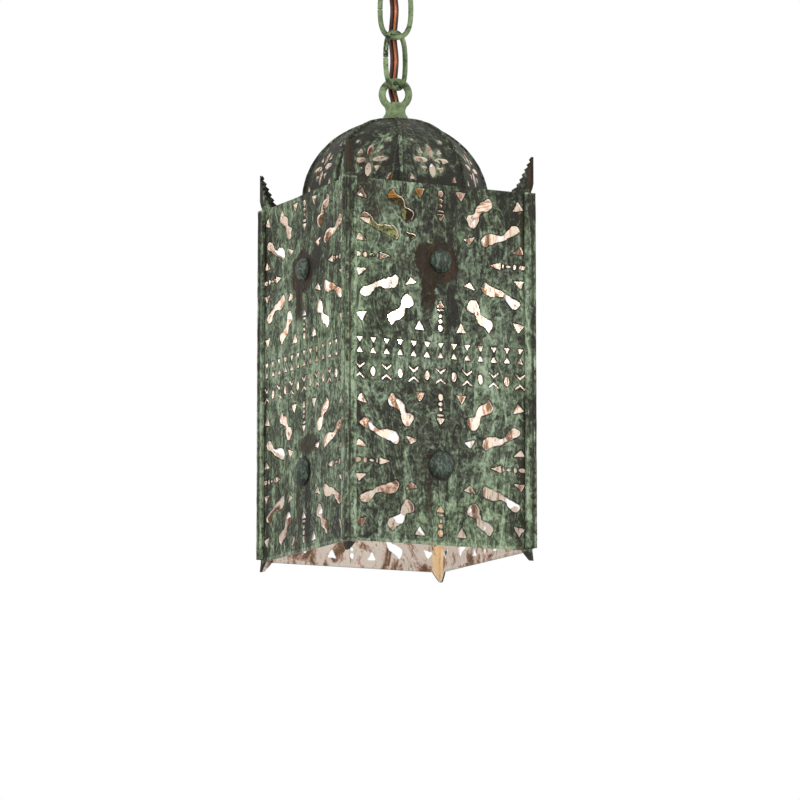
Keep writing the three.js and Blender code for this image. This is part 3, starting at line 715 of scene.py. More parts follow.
def crusted(paint, tone, stops, height, bare, colours):
    """The crust's surface, with brown metal where it is bare, and on the panels also a painted shadow beside the
    strips, mixed in as the same brown.
    """
    zone = paint.noise(11, 2, 0.5).rise(0.40, 0.60)
    green = paint.tint(zone, paint.ramp(tone, stops), (0.97, 1.0, 0.92))
    rust = paint.noise(190, 3, 0.6, paint.stretched(0.2)).rise(0.48, 0.66)
    brown = paint.mix(rust * 0.35, colours.bare_brown, colours.bare_rust)
    return paint.finish(
        base_color=paint.mix(bare, green, brown),
        roughness=0.66 + tone * 0.22 - bare * 0.12,
        metallic=0.1 + bare * 0.2,
        specular_ior_level=0.3,
        normal=paint.bump(height - bare * 0.4, 0.0007, 0.9),
    )


def crust(name, colours, brown=0.25, lift=0.0, seed=0.0):
    """Aged sheet without openings."""
    paint = Paint(name)
    tone, stops, height = verdigris(paint, colours, seed, lift)
    worn = paint.noise(36, 3, 0.6, paint.stretched(1, (seed, 4, 2)), 0.8).rise(0.58, 0.68)
    return crusted(paint, tone, stops, height, worn * brown * 2.5, colours)


class Sheet:
    """What the finish of a panel reads: where a point lies on the flat sheet, and two noises, all in metres."""

    def __init__(self, paint):
        self.x = paint.axes()[0]
        self.across, self.height, self.near = paint.drawn()
        self.stray, self.fine = paint.stray(120), paint.stray(420)
        self.left_side = self.x.rise(-0.058, -0.061)  # 1 on the left panel and 0 on the others


def boss_stains(sheet, boss, strength, reach):
    """Round a boss: the bare halo with its run below, and how much darker the ring and the drip are."""
    across, stray, fine = sheet.across, sheet.stray, sheet.fine
    up = sheet.height - boss * MM
    aside, over = across + 0.0028, up + 0.0010
    halo = (aside * aside * 0.8 + over * over) ** 0.5 + stray * 0.0045 + fine * 0.0022
    halo = halo.rise(0.0146 + reach, 0.0128 + reach)
    run = abs(across + 0.0082 + stray * 0.003) + fine * 0.001
    run = run.rise(0.0054 + reach * 0.6, 0.0044 + reach * 0.6)
    run = run * up.rise(-0.004, -0.010) * (up + stray * 0.010).rise(-0.036, -0.026)
    ring = ((across * across + up * up) ** 0.5 + fine * 0.0006).rise(0.0102 + reach * 0.1, 0.0088)
    drip = abs(across - 0.0075 - reach + stray * 0.005) + fine * 0.001
    drip = drip.rise(0.0042 + reach * 0.6, 0.0024 + reach * 0.6)
    drip = drip * up.rise(-0.004, -0.010) * (up + stray * 0.012).rise(-0.046, -0.030)
    return halo.most(run) * strength, ring * 0.3 + drip * 0.42


def left_stains(sheet):
    """The left panel's own marks: a bare blotch over its lower boss, and how much darker its smears are."""
    across, height, stray, fine = sheet.across, sheet.height, sheet.stray, sheet.fine
    smear = (abs(height - (UPPER_MEDALLION + 3) * MM) + stray * 0.004).rise(0.008, 0.005)
    smear = smear * across.rise(0.028, 0.022) * across.rise(0.004, 0.008)
    down = height - LOWER_MEDALLION * MM
    trail = (abs(across - 0.002 + down * 0.16 + stray * 0.0075) + fine * 0.001).rise(0.0042, 0.0012)
    trail = trail * down.rise(0.014, 0.008) * (down + stray * 0.008).rise(-0.046, -0.036)
    blotch = ((across - 0.007) ** 2 * 0.45 + (down - 0.016) ** 2 * 1.3) ** 0.5 + stray * 0.005 + fine * 0.0015
    lower = (height + stray * 0.010).rise(0.112, 0.084)
    darker = smear * 0.3 + trail * 0.5 + lower * 0.08
    return blotch.rise(0.0090, 0.0060) * sheet.left_side * 0.9, darker * sheet.left_side


def aged_sheet(name, colours):
    """The panels' outside, with painted shade as dark rims round the holes, a painted shadow beside the strips,
    painted shade towards the top, stains under the bosses and worn corners.
    """
    paint = Paint(name)
    sheet = Sheet(paint)
    height, near, stray, fine, left_side = sheet.height, sheet.near, sheet.stray, sheet.fine, sheet.left_side
    tone, stops, relief = verdigris(paint, colours, 0.0, 0.03)
    top, foot = BODY_HEIGHT * MM, 0.0
    # painted shade: the sheet darker in a rim round every hole
    rim = (near + fine * 0.25).rise(0.62, 0.92)
    collar = (near + stray * 0.2).rise(0.25, 0.55) * (1 - rim)
    leaf = height.rise(top + 0.001, top + 0.003)
    tab = height.rise(foot - 0.0004, foot - 0.0018)
    lip = height.rise(0.0026, 0.0012) * (1 - tab)
    tone = tone - rim * 0.26 + collar * 0.07 - leaf * 0.15 - tab * 0.55 + lip * 0.26

    side, strip = abs(sheet.across), STRIP_END * MM
    wide = paint.noise(34, 2, 0.5, paint.stretched(0.6, (5, 2, 7))).rise(0.52, 0.66)
    # painted shadow: a dark brown line on the sheet beside each strip's edge, added to the bare metal mask
    seam = (side + stray * 0.0012 + wide * 0.0022).rise(strip - 0.0012, strip - 0.0001)
    seam = seam * (1 - leaf) * (1 - tab) * (wide * 0.6 + 0.35)
    corner = (side + fine * 0.0008).rise(strip - 0.0006, strip + 0.0008) * leaf
    bare = paint.noise(36, 3, 0.6, None, 0.8).rise(0.60, 0.68) * 0.5
    bare = bare.most(seam * 0.92).most(corner * 0.95)

    upper_stains = boss_stains(sheet, UPPER_MEDALLION, 1.0, 0.0)
    lower_stains = boss_stains(sheet, LOWER_MEDALLION, 0.7, -0.004)
    for stain, darker in (upper_stains, lower_stains, left_stains(sheet)):
        bare = bare.most(stain)
        tone = tone - darker

    # painted shade: each panel darker towards its top, more so towards its left end; the left panel is not darkened
    # there but lighter towards one end
    upper = (height + stray * 0.012).rise(top - 0.040, top - 0.012) * (1 - leaf)
    near_corner = sheet.across.rise(-0.028, -0.050) * (1 - left_side)
    shade = 0.13 + near_corner * 0.12 - left_side * 0.13 - left_side * sheet.across.rise(0.0, 0.035) * 0.12
    tone = tone - upper * shade
    spotty = paint.noise(300, 4, 0.7).rise(0.66, 0.52) * 0.2 + 0.8
    return crusted(paint, tone, stops, relief - rim * 0.3, bare * spotty, colours)


def aged_dome(name, colours):
    """The gores' outside: dark, with light-green rims round the openings and pale flecks near the top."""
    paint = Paint(name)
    _, height, near = paint.drawn()
    tone, stops, relief = verdigris(paint, colours, 1.7, -0.37)
    fine = paint.stray(420)
    rim = (near + fine * 0.3).rise(0.45, 0.75)
    flecks = paint.noise(330, 3, 0.7).rise(0.60, 0.68) * height.rise(0.040, 0.062)
    # the lowest few millimetres of the gores are darker, partly as painted shade where the dome meets the panels'
    # tops and partly as darker crust
    tone = tone + rim * 0.28 + flecks * 0.5 - (height + fine * 0.001).rise(0.009, 0.004) * 0.22
    bare = paint.noise(60, 3, 0.6, None, 0.8).rise(0.56, 0.66) * 0.75
    return crusted(paint, tone, stops, relief, bare * (1 - rim * 0.7), colours)


def aged_strip(name, colours):
    """Corner moulding: dark speckled hollow, light green along the edges as a painted highlight, brown on the
    corner, and painted shade a little below the top.
    """
    paint = Paint(name)
    x, y, z = paint.axes()
    tone, stops, relief = verdigris(paint, colours, 5.3, 0.10)
    leg = abs(x).least(abs(y))
    stray = paint.stray(90, 0.6, 0.35)
    # painted highlight: lighter along the legs' rounded edges
    edge = (leg + stray * 0.0010).rise(STRIP_END * MM + 0.0026, STRIP_END * MM + 0.0014)
    hollow = (leg + stray * 0.0014).rise(STRIP_END * MM + 0.0026, STRIP_END * MM + 0.0036)
    corner = (leg + stray * 0.0010).rise(STRIP_CORNER * MM - 0.0012, STRIP_CORNER * MM - 0.0004)
    tip = z.rise(BODY_TOP * MM - 0.0016, BODY_TOP * MM - 0.0006)
    # painted shade: darker a little below the top
    under = z.rise(BODY_TOP * MM - 0.022, BODY_TOP * MM - 0.010) * (1 - tip)
    tone = tone + edge * 0.16 - hollow * 0.05 - corner * 0.12 + tip * 0.3 - under * 0.16
    dark_line = abs(leg + stray * 0.0008 - (STRIP_CORNER * MM - 0.0026)).rise(0.0010, 0.0005)
    bare = dark_line * 0.7 * stray.rise(-0.5, -0.1)
    return crusted(paint, tone, stops, relief, bare, colours)


def stud(name, colours):
    """Bosses: blue-green black, lighter in arcs that are partly rubbed metal and partly painted highlight."""
    paint = Paint(name)
    cloud = paint.noise(160, 4, 0.65, None, 1.2)
    arcs = paint.noise(240, 2, 0.5, paint.stretched(0.5, (0.3, 0.2, 0.1)), 2.2)
    # the lighter arcs: partly rubbed metal, partly painted highlight
    rubbed = arcs.rise(0.44, 0.62) * cloud.rise(0.36, 0.56)
    shade = paint.mix(rubbed * 0.55, colours.stud_dark, colours.stud_rubbed_highlight)
    shade = paint.mix(cloud.rise(0.60, 0.70) * 0.6, shade, colours.bare_brown)
    return paint.finish(
        base_color=shade,
        roughness=0.42 + arcs * 0.3,
        metallic=0.25,
        normal=paint.bump(arcs * 0.7 + cloud * 0.3, 0.0006, 0.8),
    )


def film(paint, colours, brown=0.0):
    """Colour and height of the film inside the body: chalky, rosy and stained brown."""
    blots = paint.noise(64, 4, 0.62, paint.stretched(0.6), 0.9)
    stains = paint.noise(210, 4, 0.65, paint.stretched(0.4, (0.3, 0.1, 0.2)), 0.8)
    grain = paint.noise(900, 3, 0.6)
    stops = [
        (0.39, colours.inside_brown),
        (0.45, colours.inside_rose),
        (0.49, colours.inside_pale),
        (0.60, colours.inside_pale),
        (0.66, colours.inside_rose),
    ]
    shade = paint.ramp(blots + (grain - 0.5) * 0.15 - brown, stops)
    x, y, z = paint.axes()
    foot = z.rise((BODY_BOTTOM + 16) * MM, (BODY_BOTTOM + 3) * MM) * (0.5 + y.rise(-0.02, 0.02) * 0.5)
    shade = paint.mix((stains + foot * 0.015).rise(0.56, 0.64) * 0.7, shade, colours.inside_brown)
    corner = abs(x).least(abs(y)) + (blots - 0.5) * 0.012 + (stains - 0.5) * 0.010
    corner = corner.rise(0.0555, 0.0568) * (x + y).rise(0.09, 0.11)
    corner = corner * z.rise((BODY_BOTTOM + 55) * MM, (BODY_BOTTOM + 30) * MM)
    flecked = corner * stains.rise(0.60, 0.52) * (0.7 + grain.rise(0.4, 0.6) * 0.3)
    shade = paint.mix(flecked, shade, colours.solder)
    return shade, blots * 0.5 + grain * 0.5


def inner_film(name, colours, brown=0.0):
    """Inside of the sheets."""
    paint = Paint(name)
    shade, height = film(paint, colours, brown)
    normal = paint.bump(height, 0.0005, 0.7)
    return paint.finish(base_color=shade, roughness=0.5 + height * 0.3, metallic=0.08, normal=normal)


def roof_film(name, colours):
    """The roof plate: crust on its top, film on its underside."""
    paint = Paint(name)
    z = paint.axes()[2]
    tone, stops, height = verdigris(paint, colours, 1.7, -0.08)
    shade, relief = film(paint, colours, 0.06)
    above = z.rise(BODY_TOP * MM - 0.0007, BODY_TOP * MM - 0.0003)
    return paint.finish(
        base_color=paint.mix(above, shade, paint.ramp(tone, stops)),
        roughness=0.7 + tone * 0.15,
        normal=paint.bump(height * above + relief, 0.0005, 0.8),
    )


def edge_film(name, colours):
    """Cut edges of the holes, bright and rubbed."""
    paint = Paint(name)
    blots = paint.noise(260, 3)
    shade = paint.mix(blots.rise(0.48, 0.64) * 0.45, colours.cut_edge, colours.inside_brown)
    return paint.finish(base_color=shade, roughness=0.5 + blots * 0.2, metallic=0.1)


def sage(name, colours, rubs, pitted):
    """Painted casting and wire: mottled sage green, dark where the links meet, partly as rub wear and partly as
    painted shade, and speckled in one pitted stretch.
    """
    paint = Paint(name)
    x, _, z = paint.axes()
    cloud = paint.noise(85, 3, 0.6)
    mottle = paint.noise(260, 4, 0.65)
    grain = paint.noise(1500, 3, 0.6)
    stops = [(0.36, colours.sage_deep), (0.47, colours.sage_mid), (0.60, colours.sage_light)]
    green = paint.ramp(cloud * 0.35 + mottle * 0.4 + grain * 0.25, stops)
    stray = paint.stray(420, 0.65)
    dark = paint.noise(330, 3, 0.6, paint.stretched(1, (0.2, 0.4, 0.1)), 0.5).rise(0.61, 0.68) * 0.7
    # dark bands where the links meet: partly rub wear, partly painted shade
    for height in rubs:
        dark = dark.most((abs(z - height * MM) + stray * 0.004).rise(0.0034, 0.0014) * mottle.rise(0.47, 0.53) * 0.8)
    bottom, top = (height * MM for height in pitted)
    stretch = z.rise(bottom, bottom + 0.0015) * z.rise(top + 0.002, top) * x.rise(-0.002, -0.004)
    dark = dark.most(stretch * paint.noise(520, 2, 0.6).rise(0.46, 0.53))
    shade = paint.mix(dark, green, colours.sage_dark)
    return paint.finish(
        base_color=shade,
        roughness=0.62 + grain * 0.2,
        metallic=0.05 + dark * 0.2,
        specular_ior_level=0.35,
        normal=paint.bump(mottle * 0.5 + grain * 0.6 - dark * 0.4, 0.0004, 0.9),
    )


def painted_sleeve(name, colours):
    """The socket's shell: mottled green paint, dark brown in an upright stripe and in patches near its top."""
    paint = Paint(name)
    mottle = paint.noise(330, 4, 0.7)
    stops = [(0.38, colours.sage_deep), (0.50, colours.sleeve_green), (0.62, colours.sleeve_pale)]
    x, y, z = paint.axes()
    stray = paint.stray(150)
    # dark brown in an upright stripe, right of the axis as the camera sees it, and in patches near the top
    stripe = abs(x * 0.9 - y * 0.44 - 0.009 + stray * 0.005).rise(0.0046, 0.0034)
    upper = (z + stray * 0.006).rise(BODY_TOP * MM - 0.012, BODY_TOP * MM - 0.006)
    rubbed = stripe.most(upper * mottle.rise(0.35, 0.55))
    return paint.finish(
        base_color=paint.mix(rubbed * 0.95, paint.ramp(mottle, stops), colours.bare_brown),
        roughness=0.6 + mottle * 0.2,
        metallic=rubbed * 0.15,
        normal=paint.bump(mottle - rubbed * 0.4, 0.0004, 0.8),
    )


def plated(name, shade, roughness, wear=0.25):
    """Plated or bare metal with faint scratches and dull spots."""
    paint = Paint(name)
    dull = paint.noise(140, 4, 0.6)
    lines = paint.noise(900, 2, 0.5, paint.stretched(6))
    dim = tuple(c * 0.55 for c in shade)
    worn_shade = paint.mix((dull * 0.7 + lines * 0.3).rise(0.42, 0.66) * wear * 2, shade, dim)
    return paint.finish(
        base_color=worn_shade,
        roughness=roughness + dull * 0.25,
        metallic=0.95,
        normal=paint.bump(lines, 0.0001, 0.4),
    )


def moulded(name, shade, roughness, speck=0.2, grain_scale=700):
    """Moulded plastic, card or fibre."""
    paint = Paint(name)
    grain = paint.noise(grain_scale, 4, 0.65)
    cloud = paint.noise(90, 3)
    light = tuple(min(1, c * 1.8 + 0.01) for c in shade)
    worn_shade = paint.mix((grain * 0.6 + cloud * 0.4).rise(0.4, 0.7) * speck, shade, light)
    return paint.finish(
        base_color=worn_shade, roughness=roughness + grain * 0.15, normal=paint.bump(grain, 0.00015, 0.5)
    )


def clear_glass(name, shade, least):
    """Thin clear glass, which lets the filament's light through and shows more at its edges."""
    paint = Paint(name)
    facing = paint.node("ShaderNodeLayerWeight", {}, {"Blend": 0.35}, "Facing")
    film = paint.noise(40, 2)
    return paint.finish(
        base_color=shade,
        roughness=0.04 + film * 0.04,
        alpha=(least + (facing**3) * 0.55 + film * 0.02).least(1.0),
        ior=1.5,
    )


def hot_wire(name, glow):
    """White-hot filament."""
    paint = Paint(name)
    uneven = paint.noise(300, 2)
    shade = paint.mix(uneven, glow, (1.0, 0.93, 0.82))
    return paint.finish(base_color=(0.8, 0.7, 0.5), emission_color=shade, emission_strength=60.0)


def pale_floor(name):
    paint = Paint(name)
    cloud = paint.noise(1.5, 3)
    shade = paint.mix(cloud, (0.80, 0.80, 0.79), (0.84, 0.84, 0.835))
    return paint.finish(base_color=shade, roughness=0.85)


FINISHES = {}
TREES = {}


def mix_finishes(colours):
    """Every finish, made once."""
    colours = SimpleNamespace(**{key: tuple(getattr(colours, key)) for key in keys_of(colours)})
    bar_heights = (low("canopy_loop").z, high("chain_link_lower").z, high("hub_loop").z - 2 * BAR)
    FINISHES.update(
        sheet=aged_sheet("aged_sheet", colours),
        # the leaves' inner faces: real crust, made darker and browner than the outside as painted shade
        leaf_back=crust("leaf_back", colours, brown=0.4, lift=-0.24, seed=2.3),
        dome=aged_dome("aged_dome", colours),
        ridge=crust("aged_rib", colours, brown=0.3, lift=-0.12, seed=3.1),
        strip=aged_strip("aged_strip", colours),
        boss=stud("dark_stud", colours),
        canopy=crust("aged_canopy", colours, brown=0.3, seed=9.1),
        inside=inner_film("inner_film", colours),
        dome_inside=inner_film("dome_film", colours, 0.06),
        roof=roof_film("roof_film", colours),
        edge=edge_film("cut_edge", colours),
        sage=sage("sage_paint", colours, bar_heights, CHAIN_PITTED),
        sleeve=painted_sleeve("painted_sleeve", colours),
        brass=plated("warm_brass", colours.brass, 0.28),
        zinc=plated("dull_zinc", colours.zinc, 0.38),
        copper=plated("bare_copper", colours.copper, 0.3, 0.15),
        fibre=moulded("liner_card", colours.fibre, 0.8, 0.35),
        phenolic=moulded("dark_moulding", colours.phenolic, 0.4, 0.15),
        cord=moulded("brown_plastic", colours.cord, 0.38, 0.2, 1400),
        glass=clear_glass("clear_glass", (0.96, 0.97, 0.96), 0.05),
        stem=clear_glass("stem_glass", (0.96, 0.97, 0.96), 0.14),
        filament=hot_wire("hot_wire", colours.glow),
        floor=pale_floor("pale_floor"),
    )


# The camera and the cords come first


def set_camera(studio):
    """The camera, fitted to the photograph's frame."""
    data = bpy.data.cameras.new("camera")
    data.sensor_width, data.lens = 36, studio.lens
    data.clip_start, data.clip_end = 0.05, 50
    camera = in_scene("camera", data)
    spot = Matrix.Rotation(-studio.turn, 4, "Z") @ Vector((studio.aside, -studio.distance, 0))
    camera.location = (spot.x, spot.y, studio.eye)
    camera.rotation_euler = (math.pi / 2 + studio.tilt, 0, -studio.turn)
    bpy.context.scene.camera = camera


# How far the cord's middle line stands aside from the axis, from the ceiling down, as in the model's source
CORD_ROUTE = (
    (-1.6, 0.7), (-21.3, 0.7), (-36.9, 0.7), (-40.9, 1.6), (-49.8, 6.8), (-66.85, 2.2), (-83.25, 6.2),
    (-99.3, 2.2), (-116.7, 6.8), (-125.25, 1.6), (-129.25, 0.7), (-136.85, 0.7), (-186.41, 0.7),
)
CORD_TURN = math.radians(80)
CORD_AWAY = Vector((math.cos(CORD_TURN), math.sin(CORD_TURN), 0))
# Each stretch's name, the first and last of its places on the route, and the bodies above and below its joint
CORD_STRETCHES = (
    ("top", 0, 5, "ceiling_fixture", "upper_link"),
    ("middle", 5, 7, "upper_link", "lower_link"),
    ("bottom", 7, 12, "lower_link", "lantern"),
)
GROUND_OFFSET = -2.5  # the ground wire's place, against the cord's
GROUND_RADIUS = 0.7
BEND_SPAN = 8  # above and below each joint


def cord_line(offset, first, last, per_span):
    """Centripetal spline through the route, from one of its points to another."""
    spots = [CORD_AWAY * (aside + offset) + Vector((0, 0, z)) for z, aside in CORD_ROUTE]
    spots = [2 * spots[0] - spots[1], *spots, 2 * spots[-1] - spots[-2]]
    line = []
    for k in range(first, last):
        a, b, c, d = spots[k : k + 4]
        ta, tb, tc = ((q - p).length ** 0.5 for p, q in ((a, b), (b, c), (c, d)))
        start = ((b - a) / ta - (c - a) / (ta + tb) + (c - b) / tb) * tb
        end = ((c - b) / tb - (d - b) / (tb + tc) + (d - c) / tc) * tb
        for i in range(per_span):
            t = i / per_span
            spot = b * (2 * t**3 - 3 * t**2 + 1) + start * (t**3 - 2 * t**2 + t)
            line.append(spot + c * (3 * t**2 - 2 * t**3) + end * (t**3 - t**2))
    return [*line, spots[last + 1]]


def run_length(line):
    """Length of an open line."""
    return sum((b - a).length for a, b in zip(line, line[1:]))


def twin_section(width, thickness):
    """Two round cores side by side, joined by a thin web."""
    core = thickness / 2
    middle = width / 2 - core
    arc = [math.radians(a) for a in range(-130, 131, 20)]
    right = [(middle + core * math.cos(a), core * math.sin(a)) for a in arc]
    left = [(-x, -y) for x, y in right]
    return [*right, (0, core * 0.62), *left, (0, -core * 0.62)]


def lay_cords(sizes):
    """The brown twin cord and its bare ground wire, in three stretches that part at the middle of each link."""
    wide = Vector((-CORD_AWAY.y, CORD_AWAY.x, 0))
    width, thickness = sizes.cord_width / MM, sizes.cord_thickness / MM
    for name, first, last, above, below in CORD_STRETCHES:
        twin, single = twin_section(width, thickness), circle(GROUND_RADIUS, 12)
        kinds = (
            ("cord", 0, twin, width, "cord", "cord_brown", "limp"),
            ("ground_wire", GROUND_OFFSET, single, 2 * GROUND_RADIUS, "copper", "bare_copper", "stiff"),
        )
        for kind, offset, section, across, finish, slot, stiffness in kinds:
            line = cord_line(offset, first, last, 9)
            mesh = swept(line, section, kind, finish, wide)
            piece = show(f"{kind}_{name}_run", mesh, None, slot, f"{kind}_{name}")
            height = SWING_HEIGHT[below]
            bend = [(0, 0, (height + side * BEND_SPAN) * MM) for side in (1, -1)]
            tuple(bend[0])
            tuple(bend[1])
            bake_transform(piece)
            path = [tuple(p * MM) for p in cord_line(offset, first, last, 4)]
            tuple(path[0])
            run_length(line) * MM
            across * MM


# Chain and loop castings


def bend_links(sizes):
    """Two links of bent wire, each with its butt joint open by a little in one leg."""
    radius = sizes.link_wire / MM
    squareness = 2.7  # an oval's would be 2
    seam = 0.8
    for name, body, turn in (
        ("chain_link_upper", "upper_link", CHAIN_FACING),
        ("chain_link_lower", "lower_link", CHAIN_CROSSING),
    ):
        bottom, top = ends(name)
        half_height = (top - bottom) / 2 - radius
        half_width = half_height * (LINK_WIDTH / 2 - LINK_WIRE) / (LINK_HEIGHT / 2 - LINK_WIRE)
        middle = (top + bottom) / 2
        gap = 2 * (seam / 2 / half_height) ** (squareness / 2)
        steps = 96
        path = []
        for k in range(steps + 1):
            angle = math.pi + gap / 2 + (2 * math.pi - gap) * k / steps
            c, s = math.cos(angle), math.sin(angle)
            x = half_width * math.copysign(abs(c) ** (2 / squareness), c)
            z = half_height * math.copysign(abs(s) ** (2 / squareness), s)
            path.append(Matrix.Rotation(math.radians(turn), 3, "Z") @ Vector((x, 0, z)) + Vector((0, 0, middle)))
        wire = round_wire(even(path, 0.9), radius, 20, 0.16, "sage", 38)
        show(f"{name}_wire", wire, body, "pale_patina", name)


def round_wire(line, radius, sides, unevenness, finish, sharp):
    """A wire along an open line, made by the sweep tree."""
    path = mesh_from("path", line, [], edges=[(k, k + 1) for k in range(len(line) - 1)])
    material = FINISHES[finish]
    made = TREES["sweep"].run(path, radius=radius * MM, sides=sides, unevenness=unevenness, material=material)
    return tidy(made, sharp)


def even(line, step):
    """The open line again, in even steps."""
    lengths = [0.0]
    for a, b in zip(line, line[1:]):
        lengths.append(lengths[-1] + (b - a).length)
    count = max(2, round(lengths[-1] / step))
    made, k = [], 0
    for i in range(count + 1):
        at = lengths[-1] * i / count
        while k < len(line) - 2 and lengths[k + 1] < at:
            k += 1
        span = lengths[k + 1] - lengths[k]
        made.append(line[k].lerp(line[k + 1], (at - lengths[k]) / span if span else 0))
    return made


def loop_casting(name, stub_depth, stub_radius):
    """A stub, a flared foot, a waist and a round ring, cast in one, with the cord's bore up to the ring."""
    foot, waist, shoulder, neck = LOOP_FOOT, 6.1, 7.4, 9.6
    profile = [(0, -stub_depth), (stub_radius - 0.5, -stub_depth), (stub_radius, -stub_depth + 0.5)]
    profile += [(stub_radius, 0), (foot - 0.2, 0), (foot, 0.3), (foot - 0.1, 1.0), (waist + 0.45, 2.9), (waist, 4.5)]
    profile += [(waist + 0.3, 6.2), (shoulder - 0.2, 8.4), (shoulder - 0.3, neck - 0.6)]
    profile += [(shoulder - 1.4, neck), (0, neck)]
    base = turned("base", profile, 48, "sage")
    work = bmesh.new()
    work.from_mesh(base)
    rings, around = 64, 20
    loops = []
    for k in range(rings):
        turn = 2 * math.pi * k / rings
        loop = []
        for i in range(around):
            tilt = 2 * math.pi * i / around
            reach = RING_RADIUS + BAR * math.cos(tilt)
            spot = Vector((reach * math.cos(turn), BAR * math.sin(tilt), reach * math.sin(turn) + RING_HEIGHT))
            loop.append(work.verts.new(spot * MM))
        loops.append(loop)
    for k in range(rings):
        for i in range(around):
            a, b = loops[k - 1], loops[k]
            work.faces.new((a[i - 1], a[i], b[i], b[i - 1]))
    work.to_mesh(base)
    work.free()
    holder = in_scene(name, base)
    skin = holder.modifiers.new("skin", "REMESH")
    skin.mode, skin.voxel_size = "VOXEL", 0.33 * MM
    soft = holder.modifiers.new("soft", "SMOOTH")
    soft.factor, soft.iterations = 0.5, 5
    below, seat, narrow, above = -40, 3.5, 4.0, neck + BAR + 0.2
    bore = [(0, below), (NIPPLE_HOLE, below), (NIPPLE_HOLE, seat), (narrow, seat + 0.4), (narrow, above), (0, above)]
    tool = in_scene("bore", turned("bore", bore, 40, "sage"))
    drilled = holder.modifiers.new("bore", "BOOLEAN")
    drilled.operation, drilled.object, drilled.solver = "DIFFERENCE", tool, "EXACT"
    made = plain(holder)
    bpy.data.objects.remove(tool)
    made.materials.clear()
    made.materials.append(FINISHES["sage"])
    return made


def moved(mesh, matrix):
    """The mesh turned and moved, with the move in millimetres."""
    matrix = matrix.copy()
    matrix.translation = matrix.translation * MM
    mesh.transform(matrix)
    return mesh


def cast_loops():
    """The hub loop on the dome and the loop under the canopy, which is upside down."""
    hub = loop_casting("hub", HUB_SPIGOT, LOOP_FOOT)
    foot = low("hub_loop").z
    moved(hub, Matrix.Translation((0, 0, foot)) @ Matrix.Rotation(math.radians(CHAIN_FACING), 4, "Z"))
    show("hub_loop_casting", tidy(hub, 45), "lantern", "pale_patina", "hub_loop")
    bottom, top = ends("canopy_loop")
    foot = bottom + RING_HEIGHT + RING_RADIUS + BAR
    upper = loop_casting("upper", top - foot, STUB_RADIUS)
    turn = Matrix.Rotation(math.radians(CHAIN_CROSSING), 4, "Z") @ Matrix.Rotation(math.pi, 4, "X")
    moved(upper, Matrix.Translation((0, 0, foot)) @ turn)
    show("canopy_loop_casting", tidy(upper, 45), "ceiling_fixture", "pale_patina", "canopy_loop")


# Ceiling fixture


def nipple_tube(node):
    """A tube with a fine thread on its outside, as long as its CAD node."""
    bottom, top = ends(node)
    pitch, depth = 0.94, 0.45
    rows = max(2, round((top - bottom) / (pitch / 5)))
    profile = [(NIPPLE_RADIUS, bottom + (top - bottom) * k / rows) for k in range(rows + 1)]
    profile += [(NIPPLE_BORE, top), (NIPPLE_BORE, bottom)]

    def cut(spot, turn):
        if math.hypot(spot.x, spot.y) < NIPPLE_RADIUS - 0.01 or spot.z in (bottom, top):
            return spot
        wave = 0.5 - 0.5 * math.cos(2 * math.pi * ((spot.z - bottom) / pitch - turn / (2 * math.pi)))
        share = 1 - wave * depth / NIPPLE_RADIUS
        return Vector((spot.x * share, spot.y * share, spot.z))

    return turned("tube", profile, 32, "brass", 70, cut)


def hex_nut(node):
    """The nut of a nipple, on the place of its CAD node."""
    height, across_flats, bore = 4, 15, 5.3
    outline = circle(across_flats / 2 / math.cos(math.pi / 6), 6)
    nut = prism("nut", outline, height, "zinc", [circle(bore, 24)], 0.45)
    return moved(nut, Matrix.Translation((0, 0, low(node).z)))


